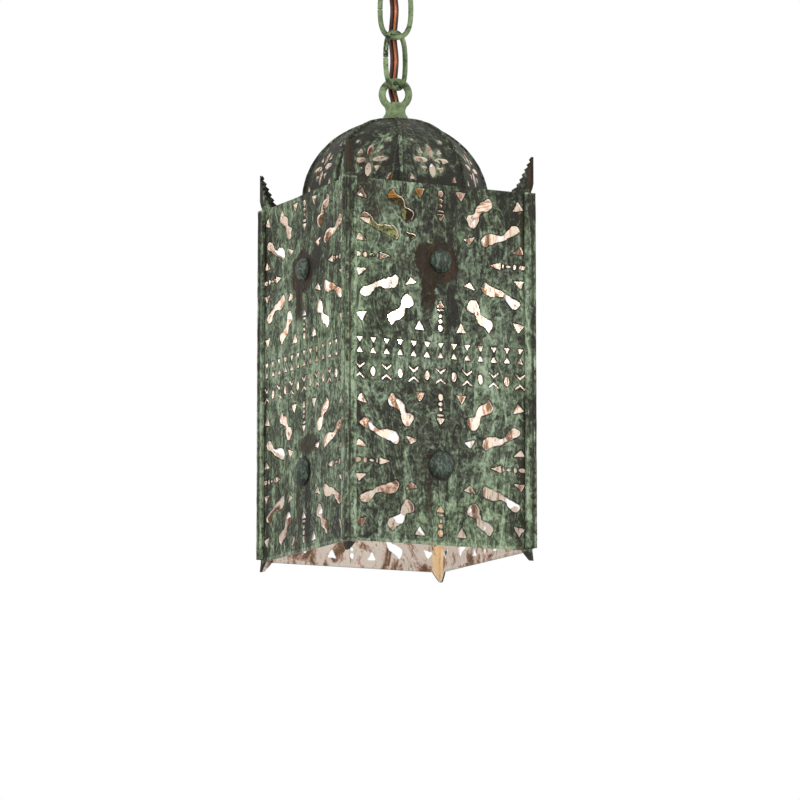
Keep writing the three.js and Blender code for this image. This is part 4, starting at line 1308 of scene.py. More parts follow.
def fit_ceiling():
    """Canopy, its ring nut, the strap, its nut and the nipple."""
    rim, lip, depth, wall, step = 60, 4, 24, 1.2, 5
    hole = STUB_RADIUS + STUB_PLAY
    flat = 4  # round the hole
    outer, inner = [], []
    for k in range(25):
        angle = k / 24 * math.pi / 2
        radius = hole + flat + (rim - lip / 2 - hole - flat) * math.cos(angle)
        height = -step - (depth - step) * math.sin(angle)
        outer.append((radius, height))
        inner.append((radius - wall * math.cos(angle), height + wall * math.sin(angle)))
    shoulder = [(rim - lip, 0), (rim - 0.4, 0), (rim, -0.5), (rim, -step + 0.8), (rim - 0.5, -step + 0.1)]
    edge = [(hole + 0.3, -depth), (hole, -depth + 0.3), (hole, -depth + wall)]
    back = [(rim - lip / 2 - wall, -step + wall), (rim - lip / 2 - wall, -wall), (rim - lip, -wall)]
    dish = turned("dish", [*shoulder, *outer, *edge, *inner[::-1], *back], 96, "canopy")
    show("canopy_dish", dish, "canopy_cover", "patina", "canopy")

    bottom, top = ends("canopy_ring_nut")
    notches, crest, valley = 8, hole + 4.2, hole + 3
    outline = []
    for k in range(notches):
        middle, half_pitch = 2 * math.pi * k / notches, math.pi / notches
        arc = [middle + half_pitch * share for share in (-0.66, -0.33, 0, 0.33, 0.66)]
        outline += [(crest * math.cos(a), crest * math.sin(a)) for a in arc]
        outline.append((valley * math.cos(middle + half_pitch), valley * math.sin(middle + half_pitch)))
    ring = prism("ring", outline, top - bottom, "sage", [circle(hole, 48)], 0.4)
    moved(ring, Matrix.Translation((0, 0, bottom)))
    show("canopy_ring", ring, "canopy_cover", "pale_patina", "canopy_ring_nut")

    show("strap_hex_nut", hex_nut("strap_nut"), "ceiling_fixture", "zinc", "strap_nut")
    show("canopy_nipple_tube", nipple_tube("canopy_nipple"), "ceiling_fixture", "nipple_brass", "canopy_nipple")

    half_length, half_width, thickness = 48, 10, 2.4
    slot_place, slot_run, slot_radius = 35, 3.7, 2.3
    arc = [math.radians(a) for a in range(-90, 91, 20)]
    slots = []
    for x in (-slot_place, slot_place):
        right = [(x + slot_run + slot_radius * math.cos(a), slot_radius * math.sin(a)) for a in arc]
        slots.append(right + [(2 * x - px, -py) for px, py in right])
    corners = [(-half_length, -half_width), (half_length, -half_width), (half_length, half_width)]
    plate = rounded([*corners, (-half_length, half_width)], 2.5, 5)
    strap = prism("strap", plate, thickness, "zinc", [circle(NIPPLE_HOLE, 32), *slots], 0.25)
    moved(strap, Matrix.Translation((0, 0, low("ceiling_strap").z)))
    show("ceiling_strap_plate", strap, "ceiling_fixture", "zinc", "ceiling_strap")


# The pierced pattern, measured from a medallion's middle, up and to the right

STEEP_BONE = (
    (32.8, 41.9), (35.6, 38.0), (34.6, 34.9), (31.0, 33.2), (27.9, 31.9), (26.9, 29.8),
    (26.3, 27.0), (25.2, 24.2), (23.0, 22.4), (20.3, 23.4), (18.3, 26.6), (18.4, 29.0),
    (20.4, 30.3), (23.2, 30.8), (24.2, 32.6), (24.8, 35.6), (27.1, 37.8), (30.3, 39.2),
)
FLAT_BONE = (
    (54.6, 23.1), (52.4, 25.6), (49.2, 25.3), (46.2, 22.6), (43.8, 19.8), (40.8, 18.9),
    (36.5, 19.6), (32.2, 19.0), (29.2, 16.9), (28.3, 13.4), (30.2, 11.2), (33.4, 12.5),
    (37.6, 14.2), (42.0, 15.5), (45.3, 17.5), (49.0, 19.2), (52.8, 20.8),
)
QUARTER_TRIANGLES = (
    ((49.8, 34.8), (57.2, 36.4), (53.2, 41.0)),
    ((10.6, 43.8), (17.4, 43.6), (14.0, 37.8)),
    ((49.8, 8.4), (57.4, 8.6), (55.2, 13.0)),
    ((15.8, 14.6), (23.6, 16.6), (20.2, 11.6)),
)
LEVEL_ARM = (
    oval(4.6, 2.6, -55.9, 0),
    oval(2.2, 3.2, -51.0, 0),
    oval(3.1, 1.5, -46.6, 0),
    oval(1.1, 2.6, -42.9, 0),
)
LEVEL_HEAD = ((-41.2, -2.1), (-34.0, 0), (-41.2, 2.1))
UPRIGHT_ARM = (
    oval(3.3, 4.2, 0, 41.7),
    oval(2.7, 2.5, 0, 37.5),
    oval(2.1, 2.1, 0, 34.2),
    oval(4.4, 1.3, 0, 30.6),
)
UPRIGHT_HEAD = ((-2.7, 28.8), (0, 24.6), (2.7, 28.8))
BAND_PITCH, BAND_COUNT = 9.1, 13  # the rows of small openings across the middle


def motif(name, outline):
    """One opening as a flat face, which the stamp tree repeats."""
    points = wound(outline)
    return mesh_from(name, [(x, y, 0) for x, y in points], [tuple(range(len(points)))])


def loops_of(mesh):
    """Every face of a stamped mesh, as an anticlockwise loop in millimetres."""
    return [wound([tuple(mesh.vertices[i].co.xy / MM) for i in face.vertices]) for face in mesh.polygons]


def repeated(outline, places, sizes, seed, wobble=1.0):
    """The outline at every (x, y, turn, flip_x, flip_y), each with its own stray edge."""
    drawn = motif("opening", divided(outline, 1.1))
    stamps = [((x, y, 0), (0, 0, turn), (fx, fy, 1)) for x, y, turn, fx, fy in places]
    made = stamped("openings", drawn, stamps, None, wobble * sizes.hole_wobble / MM, 330.0, seed)
    return loops_of(made)


def panel_openings(sizes, seed):
    """Every opening of one panel, from the middle of its bottom edge."""
    quarters, sides_only, tops_only = [], [], []
    for height in (LOWER_MEDALLION, UPPER_MEDALLION):
        quarters += [(0, height, 0, fx, fy) for fx in (1, -1) for fy in (1, -1)]
        sides_only += [(0, height, 0, fx, 1) for fx in (1, -1)]
        tops_only += [(0, height, 0, 1, fy) for fy in (1, -1)]
    openings = repeated(smoothed(STEEP_BONE, 0.8), quarters, sizes, seed)
    openings += repeated(smoothed(FLAT_BONE, 0.8), quarters, sizes, seed + 1)
    for shape in QUARTER_TRIANGLES:
        openings += repeated(rounded(shape, 0.35), quarters, sizes, seed + 2, 0.8)
    for shape in (*LEVEL_ARM, rounded(LEVEL_HEAD, 0.3)):
        openings += repeated(shape, sides_only, sizes, seed + 3, 0.5)
    for shape in (*UPRIGHT_ARM, rounded(UPRIGHT_HEAD, 0.3)):
        openings += repeated(shape, tops_only, sizes, seed + 4, 0.5)
    columns = [(k - (BAND_COUNT - 1) / 2) * BAND_PITCH for k in range(BAND_COUNT)]
    tooth = rounded([(-2.1, -1.3), (2.1, -1.3), (0, 2.3)], 0.25, 2)
    vee = rounded([(-3.5, 1.9), (0, -0.6), (3.5, 1.9), (3.1, 0.6), (0, -2.1), (-3.1, 0.6)], 0.2, 2)
    rows = (
        (tooth, 122.9, -1, columns, 0.6),
        (tooth, 116.1, 1, columns, 0.6),
        (vee, 107.0, 1, columns[::2], 0.3),
        (vee, 100.4, -1, columns[::2], 0.3),
        (oval(3.2, 6.0), 103.7, 1, columns[1::2], 0.6),
    )
    for k, (shape, height, flip, across, wobble) in enumerate(rows):
        openings += repeated(shape, [(x, height, 0, 1, flip) for x in across], sizes, seed + 5 + k, wobble)
    return openings


def panel_outline():
    """Flat bottom edge between two corner tabs, and a toothed half leaf over each top corner."""
    left, right = -HALF_SIDE, HALF_SIDE - CORNER_LAP
    teeth = 7
    drop = LEAF_HEIGHT / teeth
    tab = [(0, -TAB_DROP), (1.6, -TAB_DROP + 0.4), (4.2, -2.6), (TAB_WIDTH, 0)]
    leaf = [(0, LEAF_HEIGHT)]
    for k in range(teeth):
        out = LEAF_WIDTH * (k + 1) / teeth
        level = LEAF_HEIGHT * (1 - (k + 1) / teeth)
        leaf += [(out - 0.25, level + drop * 0.42), (out - 1.15, level + 0.1)]
    leaf[-1] = (LEAF_WIDTH, 0)
    return [
        *[(left + x, y) for x, y in tab],
        *[(right - x, y) for x, y in tab[::-1]],
        *[(right - x, BODY_HEIGHT + y) for x, y in leaf],
        *[(left + x, BODY_HEIGHT + y) for x, y in leaf[::-1]],
    ]


RIM_REACH = 3.2  # how far from an opening its edge still tells on the finish


def tree_of(points):
    """Points of the flat sheet, sorted for finding the nearest."""
    tree = KDTree(len(points))
    for k, (x, y) in enumerate(points):
        tree.insert((x, y, 0), k)
    tree.balance()
    return tree


def box_of(points):
    xs, ys = [p[0] for p in points], [p[1] for p in points]
    return min(xs), max(xs), min(ys), max(ys)


def grid_inside(outline, loops, step):
    """Points of an even grid that lie in the sheet and clear of every edge."""
    row = 0.87  # from one row to the next, in steps
    edge = tree_of([p for loop in loops for p in loop])
    left, right, bottom, top = box_of(outline)
    boxes = [(*box_of(hole), hole) for hole in loops[1:]]
    kept = []
    for r in range(int((top - bottom) / (step * row)) + 1):
        y = bottom + r * step * row
        for c in range(int((right - left) / step) + 1):
            x = left + (c + (r % 2) / 2) * step
            if edge.find((x, y, 0))[2] < step * 0.45 or not inside(outline, x, y):
                continue
            if not any(a <= x <= b and d <= y <= e and inside(hole, x, y) for a, b, d, e, hole in boxes):
                kept.append((x, y))
    return kept


def pierced_sheet(name, outline, openings, place, sizes, finishes, back_above=1e9):
    """A sheet with an outer and an inner face and a wall round every opening.

    place(x, y, depth) gives the point that far under the outer face. The finishes are those of the outside, the
    inside, the holes' edges and, where there is a fourth, the inside above a height. The attribute "drawn" keeps
    each point's place on the flat sheet, in metres, and how near an opening it is.
    """
    step = sizes.mesh_step / MM
    thickness = sizes.sheet / MM
    loops = [wound(divided(outline, step)), *openings]
    flat, triangles = filled(loops, grid_inside(loops[0], loops, step))
    count = len(flat)
    points = [place(x, y, 0) for x, y in flat] + [place(x, y, thickness) for x, y in flat]
    faces = list(triangles) + [tuple(i + count for i in reversed(t)) for t in triangles]
    kinds = [0] * len(triangles)
    kinds += [3 if sum(flat[i][1] for i in t) / 3 > back_above else 1 for t in triangles]
    start = 0
    for number, loop in enumerate(loops):
        ring = list(range(start, start + len(loop)))
        for a, b in zip(ring, ring[1:] + ring[:1]):
            faces.append((b, a, a + count, b + count) if number == 0 else (a, b, b + count, a + count))
            kinds.append(0 if number == 0 else 2)
        start += len(loop)
    made = mesh_from(name, points, faces, finishes)
    made.polygons.foreach_set("material_index", kinds)
    rims = tree_of([p for hole in openings for p in hole])
    drawn = []
    for x, y in flat:
        drawn += [x * MM, y * MM, max(0.0, 1 - rims.find((x, y, 0))[2] / RIM_REACH)]
    made.attributes.new("drawn", "FLOAT_VECTOR", "POINT").data.foreach_set("vector", drawn * 2)
    return made


def dents(x, y, sizes, seed):
    """How far the sheet strays from flat at a place."""
    size = sizes.dent_size / MM
    slow = perlin.noise(Vector((x / size, y / size, seed)))
    quick = perlin.noise(Vector((x / (size * 0.3), y / (size * 0.3), seed + 9)))
    return (slow + 0.25 * quick) * sizes.dent_depth / MM


def panel_mesh(sizes, side):
    """One pierced panel with its hem, turned to its side of the body."""
    seed = 11.0 * (side + 1)
    leaf_splay, tab_splay = 1.2, 0.5
    still_edge, still_fade = 6, 8  # no dents under the strips, and full ones this much further in

    def place(x, y, depth):
        still = min(1.0, max(0.0, (HALF_SIDE - still_edge - abs(x)) / still_fade))
        sunk = max(0.0, dents(x, y, sizes, seed) * still)
        over, under = max(0.0, (y - BODY_HEIGHT) / LEAF_HEIGHT), max(0.0, -y / TAB_DROP)
        opened = min(1.0, 4 * over)
        splay = leaf_splay * opened * opened * (3 - 2 * opened) + tab_splay * under
        return Vector((x + math.copysign(splay, x), -HALF_SIDE + depth + sunk - splay, BODY_BOTTOM + y))

    finishes = ("sheet", "inside", "edge", "leaf_back")
    made = pierced_sheet("panel", panel_outline(), panel_openings(sizes, seed), place, sizes, finishes, BODY_HEIGHT)
    both = joined([made, hem_bar(sizes)])
    both.transform(Matrix.Rotation(side * math.pi / 2, 4, "Z"))
    return tidy(both, 50, False)


def hem_bar(sizes):
    """The bottom edge folded up inside, as a rounded bar."""
    deep, tall, steps = 1.0, 2.0, 24
    front = -HALF_SIDE + sizes.sheet / MM
    end = HALF_SIDE - CORNER_LAP - TAB_WIDTH
    section = rounded([(0, 0), (deep, 0), (deep, tall), (0, tall)], [0.1, 0.45, 0.45, 0.1], 3)
    path = [Vector((-end + 2 * end * k / steps, front, BODY_BOTTOM + 0.02)) for k in range(steps + 1)]
    return swept(path, section, "hem", "inside", Vector((0, 1, 0)))


def joined(meshes):
    """Several meshes as one, each face with its own material."""
    holders = [in_scene("part", mesh) for mesh in meshes]
    with bpy.context.temp_override(
        active_object=holders[0], object=holders[0], selected_objects=holders, selected_editable_objects=holders
    ):
        bpy.ops.object.join()
    made = holders[0].data
    bpy.data.objects.remove(holders[0])
    return made


def build_panels(sizes):
    for k, side in enumerate(SIDES):
        show(f"pierced_panel_{side}", panel_mesh(sizes, k), "lantern", "patina", f"panel_{side}")


# Dome


FLOWER = 18  # the flower's middle, up the gore


def gore_openings(sizes, seed):
    """A flower of four petals, with triangles between its petals and in the gore's corners."""
    half_petal = [(0, 4.6), (1.5, 2.6), (1.9, 0), (1.5, -2.8), (0, -5.0)]
    petal = smoothed([*half_petal, (-1.5, -2.8), (-1.9, 0), (-1.5, 2.6)], 0.9)
    reach = 6.8
    petals = [(0, FLOWER + reach, 0, 1, 1), (0, FLOWER - reach, 0, 1, 1)]
    petals += [(side * reach, FLOWER, math.pi / 2, 1, side) for side in (1, -1)]
    openings = repeated(petal, petals, sizes, seed, 0.8)
    pairs = (
        (rounded([(-1.9, -1.5), (2.0, -1.2), (0.2, 2.5)], 0.3, 2), 6.3, 6.4, 0.8),
        (rounded([(-1.9, 1.3), (2.0, 1.5), (-0.2, -2.6)], 0.3, 2), 5.6, -6.2, 0.8),
        (rounded([(-1.4, -0.9), (1.4, -0.9), (0, 1.6)], 0.25, 2), 9.6, 15.6, 0.6),
        (rounded([(-1.9, -1.4), (1.9, -1.4), (0.8, 2.6)], 0.3, 2), 14.0, -12.6, 0.6),
    )
    for k, (shape, aside, above, wobble) in enumerate(pairs):
        places = [(side * aside, FLOWER + above, 0, side, 1) for side in (1, -1)]
        openings += repeated(shape, places, sizes, seed + 1 + k, wobble)
    return openings


def gore_mesh(sizes, number):
    """One pierced gore, flat across and curved up, between its two ribs."""
    seed = 101.0 + 7 * number
    mean = (DOME_RADIUS + DOME_HEIGHT) / 2
    last = math.acos(DOME_HOLE / DOME_RADIUS)
    set_back = (RIB_WIDTH / 2 + 0.1) / math.sin(HALF_GORE)
    steps = 40
    side = []
    for k in range(steps + 1):
        angle = last * k / steps
        side.append(((DOME_RADIUS * math.cos(angle) - set_back) * math.tan(HALF_GORE), angle * mean))
    outline = side + [(-x, y) for x, y in side[::-1]]

    def place(x, y, depth):
        angle = y / mean
        flat = Vector((DOME_HEIGHT * math.cos(angle), 0, DOME_RADIUS * math.sin(angle))).normalized()
        half = (DOME_RADIUS * math.cos(angle) - set_back) * math.tan(HALF_GORE)
        still = min(1.0, max(0.0, (half - abs(x)) / 4)) * min(1.0, y / 4)
        sunk = max(0.0, dents(x, y, sizes, seed) * still)
        spot = Vector((DOME_RADIUS * math.cos(angle), x, DOME_BASE + DOME_HEIGHT * math.sin(angle)))
        return spot - flat * (depth + sunk)

    finishes = ("dome", "dome_inside", "edge")
    made = pierced_sheet("gore", outline, gore_openings(sizes, seed), place, sizes, finishes)
    made.transform(Matrix.Rotation(2 * number * HALF_GORE, 4, "Z"))
    return tidy(made, 50)


def rib_mesh():
    """A raised seam, rounded on its outside, bent over the dome between two gores."""
    seam = DOME_RADIUS / math.cos(HALF_GORE)
    last, steps = math.acos(DOME_HOLE / (seam + 1)), 48
    path = []
    for k in range(steps + 1):
        angle = last * k / steps
        path.append(Vector((seam * math.cos(angle), 0, DOME_BASE + DOME_HEIGHT * math.sin(angle))))
    half, crest = RIB_WIDTH / 2, RIB_WIDTH / 2 * 0.45
    corners = [(-half, -1), (half, -1), (half, 0.75), (crest, 1), (-crest, 1), (-half, 0.75)]
    section = [(-x, -y) for x, y in rounded(corners, 0.3, 2)]
    return swept(path, section, "rib", "ridge", Vector((0, 1, 0)))


def build_dome(sizes):
    for k in range(GORES):
        show(f"pierced_gore_{k + 1}", gore_mesh(sizes, k), "lantern", "patina", f"dome_gore_{k + 1}")
    stamps = [((0, 0, 0), (0, 0, (2 * k + 1) * HALF_GORE), (1, 1, 1)) for k in range(GORES)]
    ribs = stamped("ribs", rib_mesh(), stamps, "ridge", 0.12, 260.0, 4.0)
    names = [f"dome_rib_{k + 1}" for k in range(GORES)]
    show("dome_ribs", tidy(ribs, 50), "lantern", "pale_patina", *names)


# Corner strips and bosses


def strip_mesh():
    """Angle moulding with a rounded back, over one upright corner."""
    inner, outer, end = HALF_SIDE + 0.3, STRIP_CORNER, STRIP_END
    hollow = outer - 0.45
    corners = [(end, inner), (inner, inner), (inner, end), (outer, end), (outer, end + 2.2), (hollow, end + 3.4)]
    corners += [(hollow, outer - 2.4), (outer, outer - 1.6), (outer, outer)]
    corners += [(outer - 1.6, outer), (outer - 2.4, hollow), (end + 3.4, hollow), (end + 2.2, outer), (end, outer)]
    section = rounded(corners, [0.1, 0.1, 0.1, 0.7, 0.6, 0.6, 0.6, 0.6, 1.2, 0.6, 0.6, 0.6, 0.6, 0.7], 3)
    bottom, top = ends("corner_strip_front_left")
    steps = 90
    path = [Vector((0, 0, bottom + (top - bottom) * k / steps)) for k in range(steps + 1)]
    return swept(path, section, "strip", "strip", Vector((1, 0, 0)), 60)


def build_strips():
    stamps = [((0, 0, 0), (0, 0, math.pi + k * math.pi / 2), (1, 1, 1)) for k in range(4)]
    strips = stamped("strips", strip_mesh(), stamps, "strip", 0.12, 120.0, 2.0)
    names = [f"corner_strip_{corner}" for corner in CORNERS]
    show("corner_strips", tidy(strips, 60), "lantern", "dark_patina", *names)


def boss_mesh(sizes):
    """A beaten dome on a thin edge, with its shank through the panel."""
    radius, height = sizes.boss_radius / MM, sizes.boss_height / MM
    shank_radius, shank_depth = 2, 1.3
    profile = [(0, -shank_depth), (shank_radius, -shank_depth), (shank_radius, 0.3)]
    profile += [(radius - 0.2, 0.3), (radius, 0.5), (radius - 0.1, 0.95)]
    for k in range(1, 10):
        angle = k / 9 * math.pi / 2
        profile.append(((radius - 0.35) * math.cos(angle), 1.0 + (height - 0.7) * math.sin(angle) ** 1.1))
    profile[-1] = (0, height + 0.3)

    def beaten(spot, _):
        if spot.z < 1.0:
            return spot
        facet, depth = 2.6, 0.35
        bump = perlin.noise(Vector((spot.x / facet, spot.y / facet, 3.3)))
        return spot - Vector((0, 0, 1)) * max(0.0, depth * bump)

    stud = turned("boss", profile, 40, "boss", 50, beaten)
    stud.transform(Matrix.Rotation(math.pi / 2, 4, "X"))
    return stud


def build_bosses(sizes):
    stamps = []
    for k in range(4):
        turn = k * math.pi / 2
        for height, wide in ((LOWER_MEDALLION, 1.05), (UPPER_MEDALLION, 0.92)):
            spot = Matrix.Rotation(turn, 3, "Z") @ Vector((0, -HALF_SIDE, BODY_BOTTOM + height))
            stamps.append((tuple(spot), (0, 0, turn), (wide, 1, wide)))
    studs = stamped("studs", boss_mesh(sizes), stamps, "boss", 0.10, 300.0, 6.0)
    names = [f"boss_{side}_{place}" for side in SIDES for place in ("lower", "upper")]
    show("boss_studs", tidy(studs, 50), "lantern", "dark_patina", *names)


# Socket and bulb


def build_socket():
    """Nipple, washer, nut and the medium screw socket."""
    show("lamp_nipple_tube", nipple_tube("lamp_nipple"), "lantern", "nipple_brass", "lamp_nipple")
    show("dome_hex_nut", hex_nut("dome_nut"), "lantern", "zinc", "dome_nut")
    bottom, top = ends("dome_washer")
    washer = rounded([(NIPPLE_HOLE, bottom), (9, bottom), (9, top), (NIPPLE_HOLE, top)], 0.25, 2)
    show("dome_flat_washer", turned("washer", washer, 48, "zinc"), "lantern", "zinc", "dome_washer")

    bottom, top = ends("socket_cap")
    outer, neck, wall = 17.47, 5.5, 1
    shoulder = top - 6.3
    outside = [(neck, top), (neck + 2.4, top), (outer * 0.75, shoulder + 4.4), (outer * 0.95, shoulder + 1.6)]
    outside += [(outer, shoulder - 1), (outer, bottom + 2.2), (outer - 0.5, bottom + 1.6), (outer, bottom + 1.0)]
    outside.append((outer, bottom))
    inside_line = [(outer - wall, bottom), (outer - wall, shoulder - 1.5), (outer * 0.93 - wall, shoulder + 0.8)]
    inside_line += [(outer * 0.72 - wall, shoulder + 3.6), (neck + 2, top - wall), (neck, top - wall)]
    cap = turned("cap", rounded(outside + inside_line, 0.4, 2), 64, "brass", 50)
    show("socket_brass_cap", cap, "lantern", "socket_brass", "socket_cap")

    bottom, top = ends("socket_shell")
    outer, inner = 16.17, 15.37
    beads = [(bottom + 1.2, 0.0), (bottom + 2.0, -0.45), (bottom + 2.8, 0.0)]
    beads += [(top - 10, 0.0), (top - 9, -0.4), (top - 8, 0.0)]
    outside = [(outer, bottom), *[(outer + out, z) for z, out in beads], (outer, top)]
    shell = turned("shell", [*outside, (inner, top), (inner, bottom)], 64, "sleeve", 50)
    show("socket_painted_shell", shell, "lantern", "pale_patina", "socket_shell")

    bottom, top = ends("socket_liner")
    outer, inner = 15.07, 14.47
    liner = turned("liner", [(inner, bottom), (outer, bottom), (outer, top), (inner, top)], 64, "fibre")
    show("socket_card_liner", liner, "lantern", "fibre", "socket_liner")

    bottom, top = ends("socket_body")
    outer, wall = 14.17, 0.5
    core = rounded([(0, bottom), (outer, bottom), (outer, top), (0, top)], [0, 0.6, 0.6, 0], 3)
    show("socket_core", turned("core", core, 64, "phenolic"), "lantern", "phenolic", "socket_body")
    screw = screw_wall("screw", outer, outer - wall, *ends("socket_screw_shell"), 0.35)
    show("socket_screw", screw, "lantern", "socket_brass", "socket_screw_shell")


def screw_wall(name, outer, inner, bottom, top, depth):
    """A thin brass wall with a rolled thread, the same on both faces."""
    pitch, fade = 3.6, 1.5
    rows = max(4, round((top - bottom) / (pitch / 8)))
    heights = [bottom + (top - bottom) * k / rows for k in range(rows + 1)]
    profile = [(outer, z) for z in heights] + [(inner, z) for z in reversed(heights)]

    def roll(spot, turn):
        radius = math.hypot(spot.x, spot.y)
        edge = min(1.0, (spot.z - bottom) / fade, (top - spot.z) / fade)
        wave = 0.5 - 0.5 * math.cos(2 * math.pi * (spot.z / pitch - turn / (2 * math.pi)))
        share = 1 - depth * wave * max(0.0, edge) / radius
        return Vector((spot.x * share, spot.y * share, spot.z))

    return turned(name, profile, 48, "brass", 60, roll)


def build_bulb(studio):
    """Screw base, clear glass, stem and filament, with the light that it gives."""
    base_bottom, top = ends("bulb_base")
    roof = top - 2
    radius = 12.9
    wall = screw_wall("base", radius, radius - 0.5, base_bottom, roof - 5, 0.7)
    crown = [(0, top), (3.4, top), (4.6, top - 0.7), (5.6, roof), (radius - 3, roof), (radius, roof - 4)]
    crown += [(radius, roof - 5), (radius - 0.5, roof - 5), (radius - 0.8, roof - 4.6), (radius - 3.4, roof - 0.8)]
    crown.append((0, roof - 0.8))
    cap = turned("crown", crown, 48, "brass", 50)
    show("bulb_screw_base", joined([wall, cap]), "bulb", "bulb_brass", "bulb_base")

    bottom = low("bulb_glass").z
    neck = base_bottom + 2
    round_height, widest, neck_radius, thick = 38, 29, 11.7, 0.8
    belly = bottom + round_height

    def skin(shrink):
        points = [(0, bottom + shrink)]
        for k in range(1, 17):
            angle = k / 16 * math.pi / 2
            points.append(((widest - shrink) * math.sin(angle), belly - (round_height - shrink) * math.cos(angle)))
        for k in range(1, 25):
            share = k / 24
            ease = 0.5 - 0.5 * math.cos(math.pi * share)
            points.append((widest - shrink - (widest - neck_radius) * ease, belly + (neck - belly) * share))
        return points

    glass = turned("glass", [*skin(0), *skin(thick)[::-1]], 64, "glass", 60)
    show("bulb_clear_glass", glass, "bulb", "bulb_glass", "bulb_glass")

    stem_bottom, stem_top = ends("bulb_stem")
    stem_line = [(0, stem_top), (4.6, stem_top), (5, stem_top - 0.6), (5, base_bottom + 4), (3.4, base_bottom - 1)]
    stem_line += [(2.1, base_bottom - 6), (2, stem_bottom + 1.2), (2.6, stem_bottom + 0.6), (1.6, stem_bottom)]
    stem_line.append((0, stem_bottom))
    stem = turned("stem", stem_line, 32, "stem", 60)
    show("bulb_glass_stem", stem, "bulb", "bulb_glass", "bulb_stem")

    bottom, top = ends("bulb_filament")
    upper, lower = top - 0.5, bottom + 0.5
    legs, reach, per_leg = 6, 7, 12
    path = []
    for k in range(legs * per_leg + 1):
        leg = k / per_leg
        turn = leg / legs * 2 * math.pi * (1 - 1 / legs)
        share = 0.5 - 0.5 * math.cos(math.pi * leg)
        path.append(Vector((reach * math.cos(turn), reach * math.sin(turn), upper + (lower - upper) * share)))
    wire = round_wire(path, 0.45, 8, 0.0, "filament", 80)
    show("bulb_hot_filament", wire, "bulb", "filament", "bulb_filament")

    data = bpy.data.lights.new("bulb_light", "POINT")
    data.energy, data.color, data.shadow_soft_size = studio.bulb_power, (1.0, 0.94, 0.86), 0.012
    light = in_scene("bulb_light", data)
    light.location = (0, 0, (upper + lower) / 2 * MM)
    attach(light, "bulb")


# The studio


def soft_lamp(name, power, size, spot, target):
    data = bpy.data.lights.new(name, "AREA")
    data.shape, data.size, data.energy = "DISK", size, power
    lamp = in_scene(name, data)
    lamp.location = spot
    lamp.rotation_euler = (Vector(target) - Vector(spot)).to_track_quat("-Z", "Y").to_euler()


def set_studio(studio):
    """Pale floor, soft lamps and an even surrounding light, which looks white to the camera."""
    scene = bpy.context.scene
    scene.view_settings.view_transform = "Standard"
    floor_radius, sides = 9000, 96
    disc = [(*p, 0) for p in circle(floor_radius, sides)]
    rings = [[(x * share, y * share, z) for x, y, z in disc] for share in (1.0, 0.6, 0.3)]
    points = [p for ring in rings for p in ring] + [(0, 0, 0)]
    faces = []
    for ring in range(2):
        for k in range(sides):
            a, b = ring * sides + k, ring * sides + (k + 1) % sides
            faces.append((a, b, b + sides, a + sides))
    faces += [(2 * sides + k, 2 * sides + (k + 1) % sides, 3 * sides) for k in range(sides)]
    floor = in_scene("floor", mesh_from("floor", points, faces, ["floor"]))
    floor.data.transform(Matrix.Translation((0, 0, studio.floor_height)))

    middle = (0, 0, -0.3)
    facing = Matrix.Rotation(-studio.turn, 4, "Z")
    for name, power, size, spot in (
        ("left_lamp", studio.left_lamp, 1.6, (-2.0, -1.5, 0.3)),
        ("right_lamp", studio.right_lamp, 1.6, (1.9, -1.8, 0.2)),
        ("top_lamp", studio.top_lamp, 1.8, (0.2, 0.6, 1.9)),
    ):
        soft_lamp(name, power, size, tuple(facing @ Vector(spot)), middle)

    world = bpy.data.worlds.new("studio")
    scene.world = world
    world.use_nodes = True
    sky = Nodes(world.node_tree)
    sky.tree.nodes.clear()
    rays = sky.node("ShaderNodeLightPath", {}, {}, "Is Camera Ray")
    seen = rays.most(rays.output("Is Glossy Ray")).most(rays.output("Is Transmission Ray"))
    even_light = sky.node("ShaderNodeBackground", {}, {"Color": (1.0, 1.0, 1.0), "Strength": studio.sky})
    white = sky.node("ShaderNodeBackground", {}, {"Color": (1.0, 1.0, 1.0), "Strength": 1.0})
    either = sky.node("ShaderNodeMixShader", {}, {0: seen, 1: even_light, 2: white})
    sky.node("ShaderNodeOutputWorld", {}, {"Surface": either})


# Operators, in the order in which they run


def counted(build, *given):
    """Runs a builder, and stops the script where it made nothing."""
    before = len(bpy.data.objects)
    build(*given)
    if len(bpy.data.objects) <= before:
        raise RuntimeError(f"{build.__name__} made nothing")
    return {"FINISHED"}


class LANTERN_OT_camera(bpy.types.Operator):
    """Make the finishes, and set the camera where the photograph was taken from"""

    bl_idname = "lantern.camera"
    bl_label = "Camera"

    def execute(self, context):
        mix_finishes(context.scene.lantern_colours)
        TREES.update(stamp=stamp_tree(), sweep=sweep_tree())
        return counted(set_camera, context.scene.lantern_studio)


class LANTERN_OT_cords(bpy.types.Operator):
    """Lay the brown cord and its ground wire through the chain"""

    bl_idname = "lantern.cords"
    bl_label = "Cord and ground wire"

    def execute(self, context):
        return counted(lay_cords, context.scene.lantern_sizes)


class LANTERN_OT_links(bpy.types.Operator):
    """Bend the two chain links"""

    bl_idname = "lantern.links"
    bl_label = "Chain links"

    def execute(self, context):
        return counted(bend_links, context.scene.lantern_sizes)


class LANTERN_OT_loops(bpy.types.Operator):
    """Cast the hub loop and the canopy loop"""

    bl_idname = "lantern.loops"
    bl_label = "Loop castings"

    def execute(self, context):
        return counted(cast_loops)


class LANTERN_OT_ceiling(bpy.types.Operator):
    """Fit the canopy, its ring nut, the strap, its nut and the nipple"""

    bl_idname = "lantern.ceiling"
    bl_label = "Ceiling fixture"

    def execute(self, context):
        return counted(fit_ceiling)


class LANTERN_OT_panels(bpy.types.Operator):
    """Pierce and beat the four panels"""

    bl_idname = "lantern.panels"
    bl_label = "Pierced panels"

    def execute(self, context):
        return counted(build_panels, context.scene.lantern_sizes)


